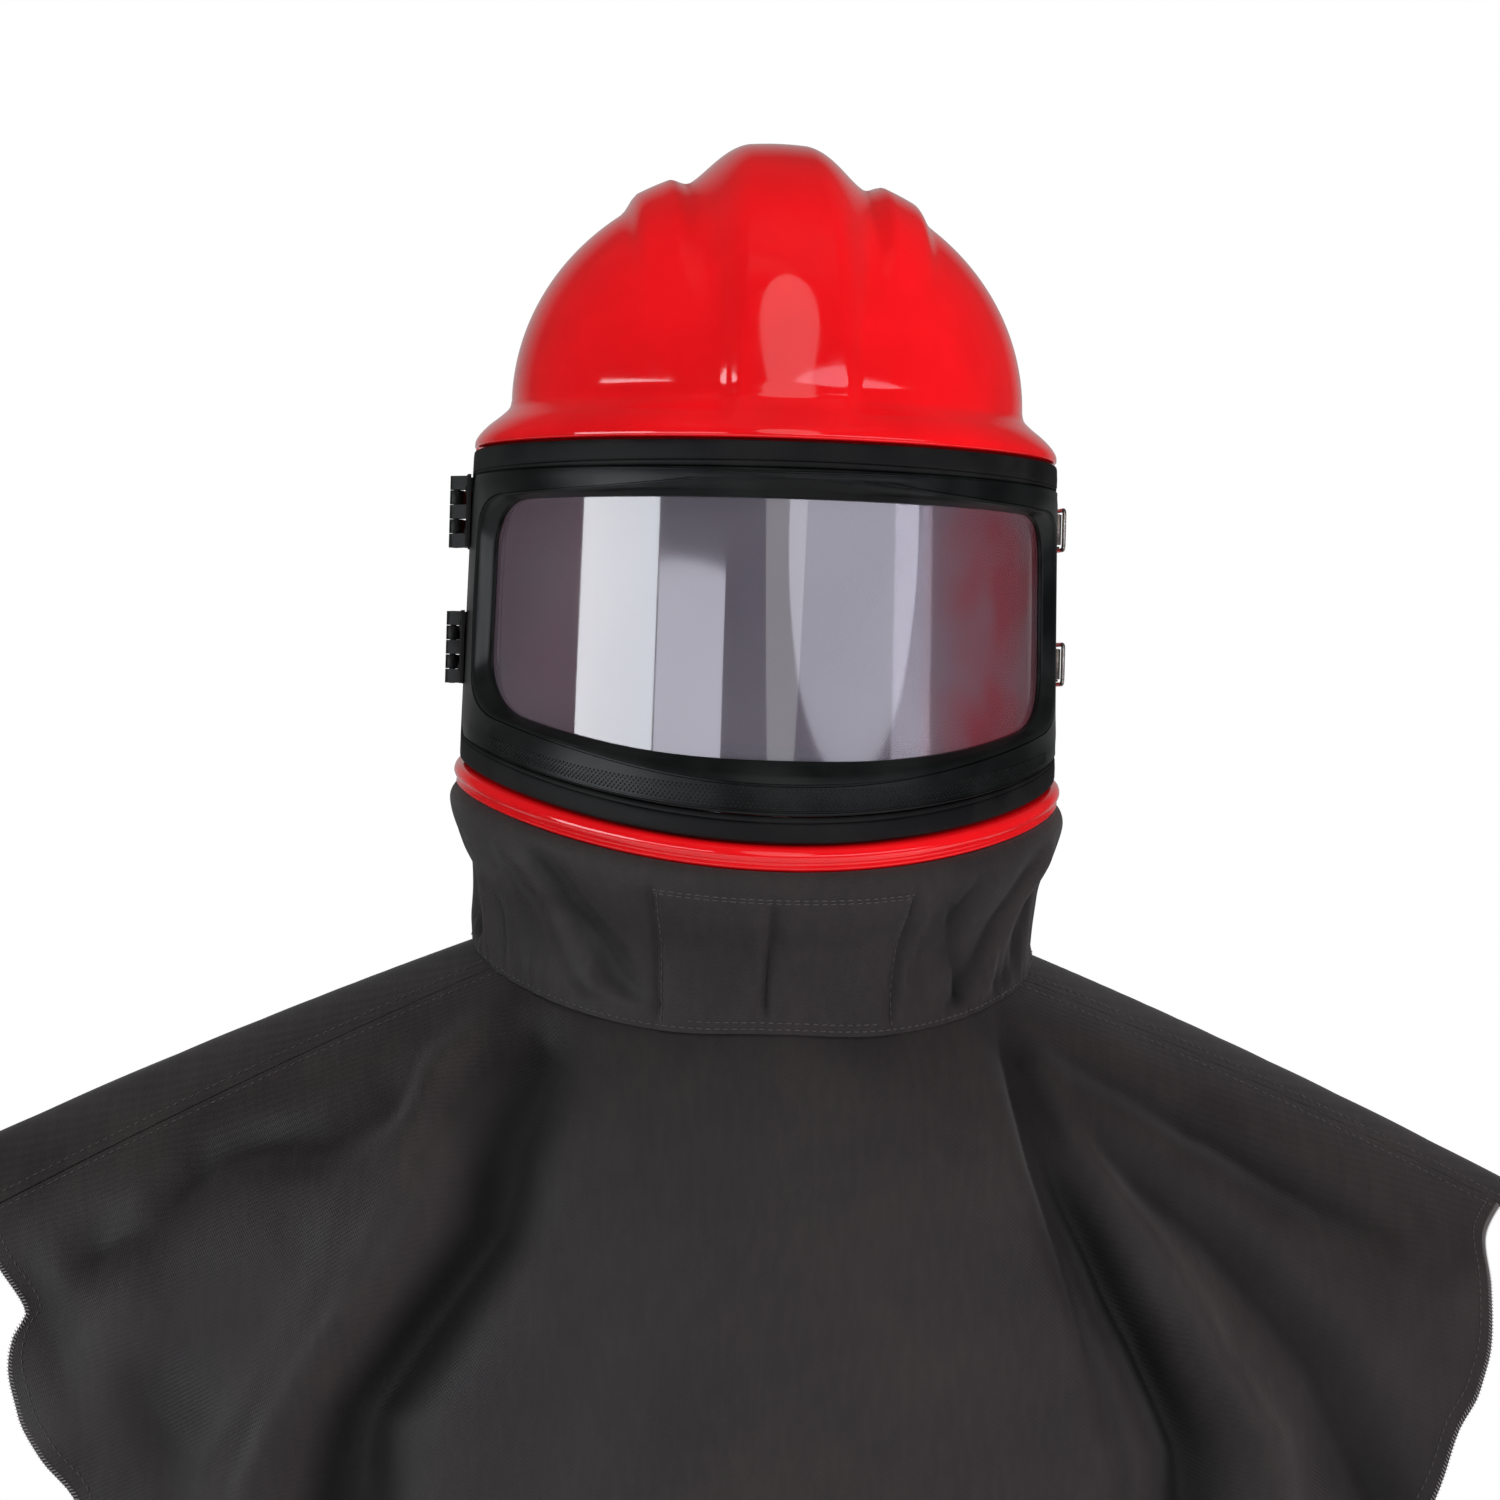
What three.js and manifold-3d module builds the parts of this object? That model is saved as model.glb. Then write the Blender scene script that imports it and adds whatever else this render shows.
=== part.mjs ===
// A sandblasting hood: a hard helmet with a hinged window frame, and a cloth collar and cape below it.
// Millimetres, +Z up. The origin is the inside apex of the crown, where the hood sits on a head.
// The face looks along -Y. The hinges are at -X and the two draw latches at +X.
// An angle theta is measured around the head from the front, positive towards +X.

import * as THREE from 'three';
import { mergeVertices } from 'three/addons/utils/BufferGeometryUtils.js';
import Module from 'manifold-3d';

const wasm = await Module();
wasm.setup();

const { lerp, smoothstep, clamp, degToRad } = THREE.MathUtils;
const rightAngle = Math.PI / 2;

// Helmet shell: a ribbed dome, a shoulder below it and an upright wall with a bead at its rim
const shellWall = 3;
const domeHalfWidth = 109.5;
const domeFront = 121;
const domeBack = 141;
const domeRise = 100;
const ridgeHeight = 12.7;
const ridgeHalfWidth = 25;
const sideRibHeight = 4.5;
const sideRibReach = 51;
const shoulderHeight = 20.5;
const wallHalfWidth = 124.7;
const wallFlare = 2.6;
const faceProud = 13.3;
const wallBack = 142;
const napeTaper = 14;
const faceHeight = 164.8;
const rimSideRise = 30.7;
const rimNapeRise = 20.6;
const beadProud = 2.4;
const beadHeight = 10;
const neckFlangeHeight = 16;
const neckFlangeInset = 3;

// Window: a stepped recess in the wall, a rubber strip, a rigid frame and a clear lens
const recessDepth = 9.5;
const recessHalfAngle = degToRad(94.5);
const recessSlope = degToRad(2);
const recessLip = 0.8;
const doorGap = 1;
const doorBackGap = 0.8;
const sealHalfAngle = degToRad(93);
const sealWidth = 11;
const frameTopBar = 12;
const frameBottomBar = 22.3;
const openingHalfAngle = degToRad(75);
const openingSideRise = 22;
const rebateWidth = 6.8;
const rebateDepth = 6.6;
const lensThickness = 2;
const lensMargin = 6;
const frameBevel = 7;

// Hardware at the ends of the window frame
const hardwareDrop = 27.8;
const hardwareSpacing = 58;
const hingeHeight = 31;
const hingeStandoff = 5.9;
const hingeSetback = 8;
const hingeBarrel = 3;
const hingePin = 1.3;
const hingeBore = 1.55;
const leafThickness = 1.3;
const leafLength = 16;
const frameLeafLead = 2;
const shellLeafLead = 8;
const hingeArmLength = 5;
const rivetPlace = 0.62;
const rivetSpread = 0.28;
const knuckleCount = 5;
const rivetRadius = 2.4;
const rivetProud = 0.7;
const latchSetback = 31.5;
const latchLength = 30;
const latchHalfWidth = 7.2;
const latchPlate = 1.2;
const latchEarHalf = 3.6;
const latchEarWall = 1;
const latchPivotHeight = 4.8;
const latchPivotLead = 10;
const latchPin = 1.2;
const latchBore = 1.45;
const leverLength = 30;
const leverHalfWidth = 5;
const leverPlate = 1.2;
const leverRise = 2.2;
const leverTip = 8;
const bailPivotDrop = 0.6;
const bailWire = 0.9;
const bailThrow = 5;
const bailReach = 2.95;
const bailHalfWidth = 8.6;
const bailBend = 2;
const bailClear = 0.4;
const keeperHalfWidth = 6.5;
const keeperLength = 13;
const keeperLead = 5.5;
const keeperThickness = 1.2;
const keeperSeat = 0.8;
const keeperHook = 3.2;
const keeperCrestHalf = 0.9;

// Cloth
const clothWall = 2;
const collarHalfWidth = 120;
const collarFront = 121;
const collarBack = 118;
const collarSlump = 4.5;
const neckHalfWidth = 112.5;
const neckFront = 112.5;
const neckBack = 110;
const ridgeLine = 4;
const collarDrop = 45;
const shoulderSlope = 0.394;
const shoulderSag = 0.000226;
const capeHalfSpan = 338;
const capeWaist = 235;
const capeTaper = 220;
const capeBottom = 890;
const chestDepth = 150;
const backDepth = 140;
const tipDepth = 70;
const chestRound = 44;
const backRound = 28;
const tipRound = 10;
const hangSpread = 0.07;
const ridgeSoftness = 25;
const ridgeRound = 3;
const seamFall = 15;
const seamTipDrop = 17;
const foldWidth = 26;
const foldDepth = 12;
const ridgeCalm = 20;
const foldCalm = 90;

// Clearances
const seatGap = 0.3;
const clothGap = 0.8;
const seamGap = 0.1;

// Levels worked out from the sizes above
const domeBase = shellWall - domeRise - ridgeHeight;
const flangeLevel = domeBase - shoulderHeight;
const recessTop = flangeLevel - recessLip;
const wallDrop = faceHeight - rimSideRise;
const shoulderDrop = faceHeight - flangeLevel + collarDrop;

const rimLevel = (theta) => {
  const forward = Math.cos(theta);
  const sides = rimSideRise * (1 - forward / 2);
  const ends = forward >= 0 ? -rimSideRise / 2 : rimNapeRise;
  return flangeLevel - faceHeight + sides + ends * forward * forward;
};

const domePlan = { half: domeHalfWidth, front: domeFront, back: domeBack };

const wallPlanAt = (z) => {
  const down = clamp((flangeLevel - z) / wallDrop, 0, 1.3);
  const half = wallHalfWidth + wallFlare * down;
  return { half, front: half + faceProud, back: wallBack - napeTaper * down };
};

const mixPlans = (a, b, share) => ({
  half: lerp(a.half, b.half, share),
  front: lerp(a.front, b.front, share),
  back: lerp(a.back, b.back, share),
});

// The share of the window recess at an angle: 1 over the face, 0 behind it
const recessShare = (theta) => {
  const past = Math.abs(theta) - recessHalfAngle;
  return 1 - clamp(past / recessSlope, 0, 1);
};

function planPoint(plan, theta, z, out) {
  const depth = Math.cos(theta) >= 0 ? plan.front : plan.back;
  const side = Math.sin(theta);
  const ahead = -Math.cos(theta);
  const normal = new THREE.Vector3(side / plan.half, ahead / depth, 0).normalize();
  return new THREE.Vector3(plan.half * side, depth * ahead, z).addScaledVector(normal, out);
}

const wallPoint = (theta, z, out) => planPoint(wallPlanAt(z), theta, z, out);

// Closed solids from grids of points
function solidFrom(points, triangles) {
  const geometry = new THREE.BufferGeometry();
  const flat = points.flatMap((point) => point.toArray());
  geometry.setAttribute('position', new THREE.Float32BufferAttribute(flat, 3));
  let volume = 0;
  for (const [a, b, c] of triangles) {
    volume += points[a].dot(new THREE.Vector3().crossVectors(points[b], points[c]));
  }
  const outward = volume > 0 ? triangles : triangles.map(([a, b, c]) => [a, c, b]);
  geometry.setIndex(outward.flat());
  return geometry;
}

// A quad split along its shorter diagonal. A corner named twice leaves one triangle.
function splitQuad(points, a, b, c, d) {
  if (a === b) return [[a, c, d]];
  if (c === d) return [[a, b, c]];
  const short = points[a].distanceTo(points[c]) <= points[b].distanceTo(points[d]);
  return short ? [[a, b, c], [a, c, d]] : [[a, b, d], [b, c, d]];
}

// Rings of points joined one to the next. A ring of one point is a pole.
function ringSolid(rings, joined) {
  const points = rings.flat();
  const starts = [];
  rings.reduce((start, ring) => {
    starts.push(start);
    return start + ring.length;
  }, 0);
  const triangles = [];
  const pairs = joined ? rings.length : rings.length - 1;
  for (let r = 0; r < pairs; r += 1) {
    const next = (r + 1) % rings.length;
    const count = Math.max(rings[r].length, rings[next].length);
    for (let i = 0; i < count; i += 1) {
      const a = starts[r] + (i % rings[r].length);
      const b = starts[r] + ((i + 1) % rings[r].length);
      const c = starts[next] + ((i + 1) % rings[next].length);
      const d = starts[next] + (i % rings[next].length);
      triangles.push(...splitQuad(points, a, b, c, d));
    }
  }
  return solidFrom(points, triangles);
}

// A curved sheet with thickness: two grids of the same shape, joined along their border.
function sheetSolid(outer, inner) {
  const rows = outer.length;
  const columns = outer[0].length;
  const at = (side, [r, c]) => (side * rows + r) * columns + c;
  const points = [...outer.flat(), ...inner.flat()];
  const triangles = [];
  const quad = (...corners) => triangles.push(...splitQuad(points, ...corners));
  for (let r = 0; r < rows - 1; r += 1) {
    for (let c = 0; c < columns - 1; c += 1) {
      const cell = [[r, c], [r, c + 1], [r + 1, c + 1], [r + 1, c]];
      quad(...cell.map((corner) => at(0, corner)));
      quad(...cell.reverse().map((corner) => at(1, corner)));
    }
  }
  const border = [];
  for (let c = 0; c < columns - 1; c += 1) border.push([0, c]);
  for (let r = 0; r < rows - 1; r += 1) border.push([r, columns - 1]);
  for (let c = columns - 1; c > 0; c -= 1) border.push([rows - 1, c]);
  for (let r = rows - 1; r > 0; r -= 1) border.push([r, 0]);
  border.forEach((p, i) => {
    const q = border[(i + 1) % border.length];
    quad(at(0, q), at(0, p), at(1, p), at(1, q));
  });
  return solidFrom(points, triangles);
}

// Joining and cutting solids
function toManifold(geometry) {
  const bare = geometry.clone();
  bare.deleteAttribute('normal');
  bare.deleteAttribute('uv');
  const merged = mergeVertices(bare, 1e-4);
  return new wasm.Manifold(new wasm.Mesh({
    numProp: 3,
    vertProperties: new Float32Array(merged.getAttribute('position').array),
    triVerts: new Uint32Array(merged.getIndex().array),
  }));
}

function toGeometry(solid) {
  const mesh = solid.getMesh();
  const geometry = new THREE.BufferGeometry();
  geometry.setAttribute('position', new THREE.BufferAttribute(mesh.vertProperties, 3));
  geometry.setIndex(new THREE.BufferAttribute(mesh.triVerts, 1));
  return geometry;
}

const join = (pieces) => pieces.map(toManifold).reduce((whole, piece) => whole.add(piece));

const carve = (body, cuts) => cuts.map(toManifold).reduce((whole, cut) => whole.subtract(cut), body);

// Evenly spread values, both ends included
const spread = (from, to, count) => {
  return Array.from({ length: count }, (unused, i) => lerp(from, to, i / (count - 1)));
};

const finish = {
  redShell: { color: 0xc4161b, roughness: 0.22, metalness: 0 },
  blackFrame: { color: 0x1f2120, roughness: 0.5, metalness: 0 },
  rubber: { color: 0x17181a, roughness: 0.8, metalness: 0 },
  glass: { color: 0xb9b3b8, roughness: 0.08, metalness: 0 },
  hingeBlack: { color: 0x141414, roughness: 0.4, metalness: 0.6 },
  steel: { color: 0xb5b0aa, roughness: 0.3, metalness: 0.9 },
  cloth: { color: 0x322e2e, roughness: 0.95, metalness: 0 },
};

const hood = new THREE.Group();

function addPiece(name, geometry, look) {
  const mesh = new THREE.Mesh(geometry, new THREE.MeshStandardMaterial(finish[look]));
  mesh.name = name;
  hood.add(mesh);
}

// Height of the pressed ribs over the plain dome. rise is 0 at the brim and 1 at the crown.
function ribHeight(x, rise) {
  const across = Math.abs(x);
  const flankStart = ridgeHalfWidth * lerp(0.85, 0.4, rise);
  const flankEnd = ridgeHalfWidth * lerp(1.15, 1.62, rise);
  const fade = lerp(0.4, 1, smoothstep(rise, 0, 0.75));
  const centre = ridgeHeight * fade * (1 - smoothstep(across, flankStart, flankEnd));
  const offset = across / sideRibReach;
  const band = smoothstep(offset, 0.73, 0.87) * (1 - smoothstep(offset, 1.1, 1.29));
  return centre + sideRibHeight * band * smoothstep(rise, 0.35, 0.8);
}

function domePoint(tilt, theta, inset) {
  const depth = Math.cos(theta) >= 0 ? domeFront : domeBack;
  const radii = new THREE.Vector3(domeHalfWidth, depth, domeRise);
  const ray = new THREE.Vector3(
    Math.sin(tilt) * Math.sin(theta),
    -Math.sin(tilt) * Math.cos(theta),
    Math.cos(tilt),
  );
  const point = ray.clone().multiply(radii);
  const normal = ray.divide(radii).normalize();
  point.addScaledVector(normal, ribHeight(point.x, Math.cos(tilt)) - inset);
  point.z += domeBase;
  return point;
}

// Shoulder rows: share of its height below the dome, share of the way out to the wall
const shoulderRows = [
  { drop: 0.185, reach: 0.07 },
  { drop: 0.38, reach: 0.34 },
  { drop: 0.62, reach: 0.73 },
  { drop: 0.87, reach: 0.98 },
  { drop: 1, reach: 1 },
];

// The inside of the shoulder, in the same two shares
const insideShoulder = {
  low: { drop: 0.77, reach: 0.9 },
  high: { drop: 0.356, reach: 0.3 },
};

// Rim rows: drop as a share of the bead's height, and how proud it stands as a share of beadProud
const rimRows = [
  { drop: 0.08, proud: -0.1 },
  { drop: 0.2, proud: 0.62 },
  { drop: 0.45, proud: 1 },
  { drop: 0.76, proud: 0.4 },
  { drop: 0.98, proud: 0.17 },
];

function shoulderPoint(theta, row, out) {
  const z = domeBase - shoulderHeight * row.drop;
  const plan = mixPlans(domePlan, wallPlanAt(flangeLevel), row.reach);
  const ribs = ribHeight(plan.half * Math.sin(theta), 0) * (1 - smoothstep(row.drop, 0, 0.75));
  return planPoint(plan, theta, z, out + ribs);
}

const tiltsOutside = [8, 17, 27, 38, 49, 60, 70, 80, 90].map(degToRad);
const tiltsInside = [90, 70, 50, 30, 12].map(degToRad);

function shellAngles() {
  const face = spread(0, recessHalfAngle, 14);
  const behind = spread(recessHalfAngle + recessSlope, Math.PI, 11);
  const right = [...face, ...behind];
  const left = right.slice(1, -1).map((theta) => -theta).reverse();
  return [...right, ...left];
}

function shellRings(angles) {
  const wallInset = (theta) => -recessDepth * recessShare(theta);
  const ring = (place) => angles.map(place);
  const wallRing = (share) => ring((theta) => {
    const z = lerp(recessTop, rimLevel(theta), share);
    return wallPoint(theta, z, wallInset(theta));
  });
  const rimRing = (drop, out) => ring((theta) => wallPoint(theta, rimLevel(theta) - drop, out));
  const flangeOut = -neckFlangeInset;
  const flangeEnd = beadHeight + neckFlangeHeight;
  const bend = -1.2 * shellWall;
  return [
    [new THREE.Vector3(0, 0, domeBase + domeRise + ridgeHeight)],
    ...tiltsOutside.map((tilt) => ring((theta) => domePoint(tilt, theta, 0))),
    ...shoulderRows.map((row) => ring((theta) => shoulderPoint(theta, row, 0))),
    wallRing(0),
    wallRing(1),
    ...rimRows.map((row) => rimRing(row.drop * beadHeight, row.proud * beadProud)),
    rimRing(1.02 * beadHeight, flangeOut),
    rimRing(flangeEnd, flangeOut),
    rimRing(flangeEnd, flangeOut - shellWall),
    rimRing(0.8 * beadHeight, flangeOut - shellWall),
    ring((theta) => wallPoint(theta, rimLevel(theta) + shellWall, wallInset(theta) - shellWall)),
    ring((theta) => wallPoint(theta, recessTop - shellWall, wallInset(theta) - shellWall)),
    ring((theta) => shoulderPoint(theta, insideShoulder.low, 0.8 * wallInset(theta) + bend)),
    ring((theta) => shoulderPoint(theta, insideShoulder.high, bend)),
    ...tiltsInside.map((tilt) => ring((theta) => domePoint(tilt, theta, shellWall))),
    [new THREE.Vector3(0, 0, 0)],
  ];
}

// Window outlines: angles and levels of the four edges, with elliptic corners
const alongWall = (length) => length / wallHalfWidth;

const sealOutline = {
  half: sealHalfAngle,
  top: () => recessTop - doorGap,
  bottom: (theta) => rimLevel(theta) + doorGap,
  topCorner: { across: 6, tall: 6 },
  bottomCorner: { across: 6, tall: 6 },
};

const frameOutline = {
  half: sealHalfAngle - alongWall(sealWidth),
  top: () => sealOutline.top() - sealWidth,
  bottom: (theta) => sealOutline.bottom(theta) + sealWidth,
  topCorner: { across: 12, tall: 10 },
  bottomCorner: { across: 12, tall: 10 },
};

const openingLow = frameOutline.bottom(0) + frameBottomBar;

const openingOutline = {
  half: openingHalfAngle,
  top: () => frameOutline.top() - frameTopBar,
  bottom: (theta) => openingLow + openingSideRise * Math.abs(Math.sin(theta)) ** 2.6,
  topCorner: { across: 32, tall: 20 },
  bottomCorner: { across: 36, tall: 22 },
};

const openingLedge = {
  ...openingOutline,
  half: openingHalfAngle + alongWall(rebateWidth),
  top: () => openingOutline.top() + rebateWidth,
  bottom: (theta) => openingOutline.bottom(theta) - rebateWidth,
};

const cornerTurns = spread(0, 1, 5).slice(1, -1);

function outlineLoop({ half, top, bottom, topCorner, bottomCorner }) {
  const corner = (side, low, turn) => {
    const size = low ? bottomCorner : topCorner;
    const theta = side * (half - alongWall(size.across) * (1 - Math.sin(turn * rightAngle)));
    const inset = size.tall * (1 - Math.cos(turn * rightAngle));
    return { theta, z: low ? bottom(theta) + inset : top(theta) - inset };
  };
  const edge = (side, low) => {
    const size = low ? bottomCorner : topCorner;
    const reach = half - alongWall(size.across);
    const level = low ? bottom : top;
    return spread(side * reach, -side * reach, 18).map((theta) => ({ theta, z: level(theta) }));
  };
  const upright = (side) => {
    const ends = [top(half) - topCorner.tall, bottom(half) + bottomCorner.tall];
    return spread(...(side > 0 ? ends : ends.reverse()), 3).map((z) => ({ theta: side * half, z }));
  };
  const turnsBack = [...cornerTurns].reverse();
  return [
    ...edge(-1, false),
    ...cornerTurns.map((turn) => corner(1, false, turn)),
    ...upright(1),
    ...turnsBack.map((turn) => corner(1, true, turn)),
    ...edge(1, true),
    ...cornerTurns.map((turn) => corner(-1, true, turn)),
    ...upright(-1),
    ...turnsBack.map((turn) => corner(-1, false, turn)),
  ];
}

// A bar between two outlines. Section rows give where they are measured from, the reach along the
// wall, and how far out from the wall's plan they lie. The reach is a length from the inner or the
// outer edge, a share of the width across the bar, or nothing on the ledge that holds the lens.
function barSolid(loops, section) {
  const rings = section.map(({ from, reach, out }) => loops.inner.map((inside, i) => {
    if (from === 'ledge') return wallPoint(loops.ledge[i].theta, loops.ledge[i].z, out);
    const outside = loops.outer[i];
    const near = wallPoint(inside.theta, inside.z, 0);
    const width = near.distanceTo(wallPoint(outside.theta, outside.z, 0));
    const share = { inner: reach / width, across: reach, outer: 1 - reach / width }[from];
    return wallPoint(lerp(inside.theta, outside.theta, share), lerp(inside.z, outside.z, share), out);
  }));
  return ringSolid(rings, true);
}

const doorBack = -(recessDepth - doorBackGap);

const sealSection = [
  { from: 'inner', reach: seatGap, out: -0.07 * sealWidth },
  { from: 'inner', reach: 0.18 * sealWidth, out: 0.02 * sealWidth },
  { from: 'across', reach: 0.5, out: 0.036 * sealWidth },
  { from: 'outer', reach: 0.13 * sealWidth, out: 0.01 * sealWidth },
  { from: 'outer', reach: 0, out: -0.11 * sealWidth },
  { from: 'outer', reach: 0, out: doorBack },
  { from: 'inner', reach: seatGap, out: doorBack },
];

const frameSection = [
  { from: 'inner', reach: 0, out: -0.72 * frameBevel },
  { from: 'inner', reach: 0.29 * frameBevel, out: -0.49 * frameBevel },
  { from: 'inner', reach: 0.64 * frameBevel, out: -0.17 * frameBevel },
  { from: 'inner', reach: frameBevel, out: 0.04 * frameBevel },
  { from: 'across', reach: 0.65, out: 0.1 * frameBevel },
  { from: 'outer', reach: 0.29 * frameBevel, out: 0.04 * frameBevel },
  { from: 'outer', reach: 0, out: -0.06 * frameBevel },
  { from: 'outer', reach: 0, out: doorBack },
  { from: 'across', reach: 0.78, out: doorBack },
  { from: 'across', reach: 0.52, out: doorBack },
  { from: 'ledge', reach: 0, out: doorBack },
  { from: 'ledge', reach: 0, out: -rebateDepth },
  { from: 'inner', reach: 0, out: -rebateDepth },
];

// A curved plate inside the opening's outline, grown by a margin, between two distances from the plan
function windowPlate(margin, outFace, outBack) {
  const { half, top, bottom, topCorner, bottomCorner } = openingOutline;
  const end = half + alongWall(margin);
  const turned = (theta, size) => {
    const start = end - alongWall(size.across);
    const turn = clamp((Math.abs(theta) - start) / alongWall(size.across), 0, 1);
    return size.tall * (1 - Math.sqrt(1 - turn * turn));
  };
  const ends = [0.85, 0.93, 0.98, 1].map((share) => share * end);
  const angles = [...ends.map((a) => -a).reverse(), ...spread(-0.75 * end, 0.75 * end, 15), ...ends];
  const grid = (out) => angles.map((theta) => {
    const high = top(theta) + margin - turned(theta, topCorner);
    const low = bottom(theta) - margin + turned(theta, bottomCorner);
    return spread(high, low, 3).map((z) => wallPoint(theta, z, out));
  });
  return sheetSolid(grid(outFace), grid(outBack));
}

function buildShell() {
  const whole = toManifold(ringSolid(shellRings(shellAngles()), false));
  const aperture = windowPlate(lensMargin, -recessDepth / 2, -(recessDepth + 3 * shellWall));
  return toGeometry(carve(whole, [aperture]));
}

function buildWindow() {
  const frameLoop = outlineLoop(frameOutline);
  const sealLoops = { inner: frameLoop, outer: outlineLoop(sealOutline) };
  const frameLoops = {
    inner: outlineLoop(openingOutline),
    outer: frameLoop,
    ledge: outlineLoop(openingLedge),
  };
  addPiece('frame_seal', barSolid(sealLoops, sealSection), 'rubber');
  addPiece('window_frame', barSolid(frameLoops, frameSection), 'blackFrame');
  const lensFace = -(rebateDepth + seatGap);
  addPiece('lens', windowPlate(lensMargin - seatGap, lensFace, lensFace - lensThickness), 'glass');
}

// Hardware is made from plan outlines drawn out along Z
function upright(outline, low, high) {
  const shape = new THREE.Shape(outline.map((point) => new THREE.Vector2(point.x, point.y)));
  const geometry = new THREE.ExtrudeGeometry(shape, { depth: high - low, bevelEnabled: false });
  return geometry.translate(0, 0, low);
}

function post(centre, radius, low, high, sides) {
  const outline = spread(0, 2 * Math.PI, sides + 1).slice(0, -1).map((turn) => ({
    x: centre.x + radius * Math.cos(turn),
    y: centre.y + radius * Math.sin(turn),
  }));
  return upright(outline, low, high);
}

// A point beside the wall: side is -1 or 1, y its place along the wall, out its distance from it
function besideWall(side, y, z, out) {
  const plan = wallPlanAt(z);
  const depth = y < 0 ? plan.front : plan.back;
  return planPoint(plan, side * Math.acos(-y / depth), z, out);
}

// A thin plate that follows the wall from y0 to y1
function wallStrip(side, y0, y1, z, out, thickness) {
  const places = spread(y0, y1, 4);
  const face = places.map((y) => besideWall(side, y, z, out + thickness));
  const back = places.reverse().map((y) => besideWall(side, y, z, out));
  return [...face, ...back];
}

function rivet(side, y, level, planLevel, out) {
  const foot = besideWall(side, y, planLevel, out - leafThickness / 2);
  const head = besideWall(side, y, planLevel, out + rivetProud);
  const axis = new THREE.Vector3().subVectors(head, foot);
  const geometry = new THREE.CylinderGeometry(rivetRadius * 0.8, rivetRadius, axis.length(), 8);
  const turn = new THREE.Quaternion().setFromUnitVectors(
    new THREE.Vector3(0, 1, 0),
    axis.clone().normalize(),
  );
  geometry.applyQuaternion(turn);
  const middle = foot.add(head).multiplyScalar(0.5);
  return geometry.translate(middle.x, middle.y, level);
}

// One hinge: a leaf on the frame with the odd knuckles and a leaf on the shell with the even ones
function buildHinge(name, level) {
  const low = level - hingeHeight / 2;
  const high = level + hingeHeight / 2;
  const axis = besideWall(-1, hingeSetback, flangeLevel - wallDrop / 2, hingeStandoff);
  const pitch = hingeHeight / knuckleCount;
  const leaves = [
    { kind: 'frame', first: 0, out: doorGap, near: hingeSetback - frameLeafLead, reach: -1 },
    { kind: 'shell', first: 1, out: seatGap, near: hingeSetback + shellLeafLead, reach: 1 },
  ];
  for (const { kind, first, out, near, reach } of leaves) {
    const far = near + reach * leafLength;
    const strip = wallStrip(-1, Math.min(near, far), Math.max(near, far), low, out, leafThickness);
    const pieces = [upright(strip, low, high)];
    const foot = [0, hingeArmLength].map((back) => besideWall(-1, near + reach * back, low, out));
    const top = besideWall(-1, near + reach * hingeArmLength, low, out + leafThickness);
    const crest = { x: axis.x - hingeBarrel * 0.55, y: axis.y + reach * hingeBarrel * 0.8 };
    const arm = [foot[0], foot[1], top, crest, { x: axis.x + hingeBarrel * 0.8, y: axis.y }];
    const others = [];
    for (let k = 0; k < knuckleCount; k += 1) {
      const bottom = low + k * pitch;
      const own = k % 2 === first;
      if (own) {
        pieces.push(post(axis, hingeBarrel, bottom + seatGap / 2, bottom + pitch - seatGap / 2, 12));
        pieces.push(upright(arm, bottom + seatGap / 2, bottom + pitch - seatGap / 2));
      } else {
        const clear = hingeBarrel + 2 * seatGap;
        others.push(post(axis, clear, bottom - seatGap / 2, bottom + pitch + seatGap / 2, 12));
      }
    }
    for (const share of [-rivetSpread, rivetSpread]) {
      const place = near + reach * leafLength * rivetPlace;
      pieces.push(rivet(-1, place, level + share * hingeHeight, low, out + leafThickness));
    }
    const joined = join(pieces);
    const pin = post(axis, hingePin, low, high, 8);
    const bored = carve(joined, [...others, post(axis, hingeBore, low - 1, high + 1, 8)]);
    const leaf = kind === 'frame' ? bored : carve(joined, others).add(toManifold(pin));
    addPiece(`hinge_${kind}_leaf_${name}`, toGeometry(leaf), 'hingeBlack');
  }
}

// Latch parts are drawn in a frame of their own on the wall: back runs along the wall away from
// the face, and height stands out from it.
function latchFrame(level) {
  const seat = besideWall(1, latchSetback, level - latchHalfWidth, 0);
  const raised = besideWall(1, latchSetback, level - latchHalfWidth, 1);
  const normal = new THREE.Vector2(raised.x - seat.x, raised.y - seat.y);
  const place = (back, height) => ({
    x: seat.x - normal.y * back + normal.x * height,
    y: seat.y + normal.x * back + normal.y * height,
  });
  const pivot = place(-latchPivotLead, latchPivotHeight);
  const bailPivot = place(bailThrow - latchPivotLead, latchPivotHeight - bailPivotDrop);
  return { place, pivot, bailPivot };
}

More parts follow.
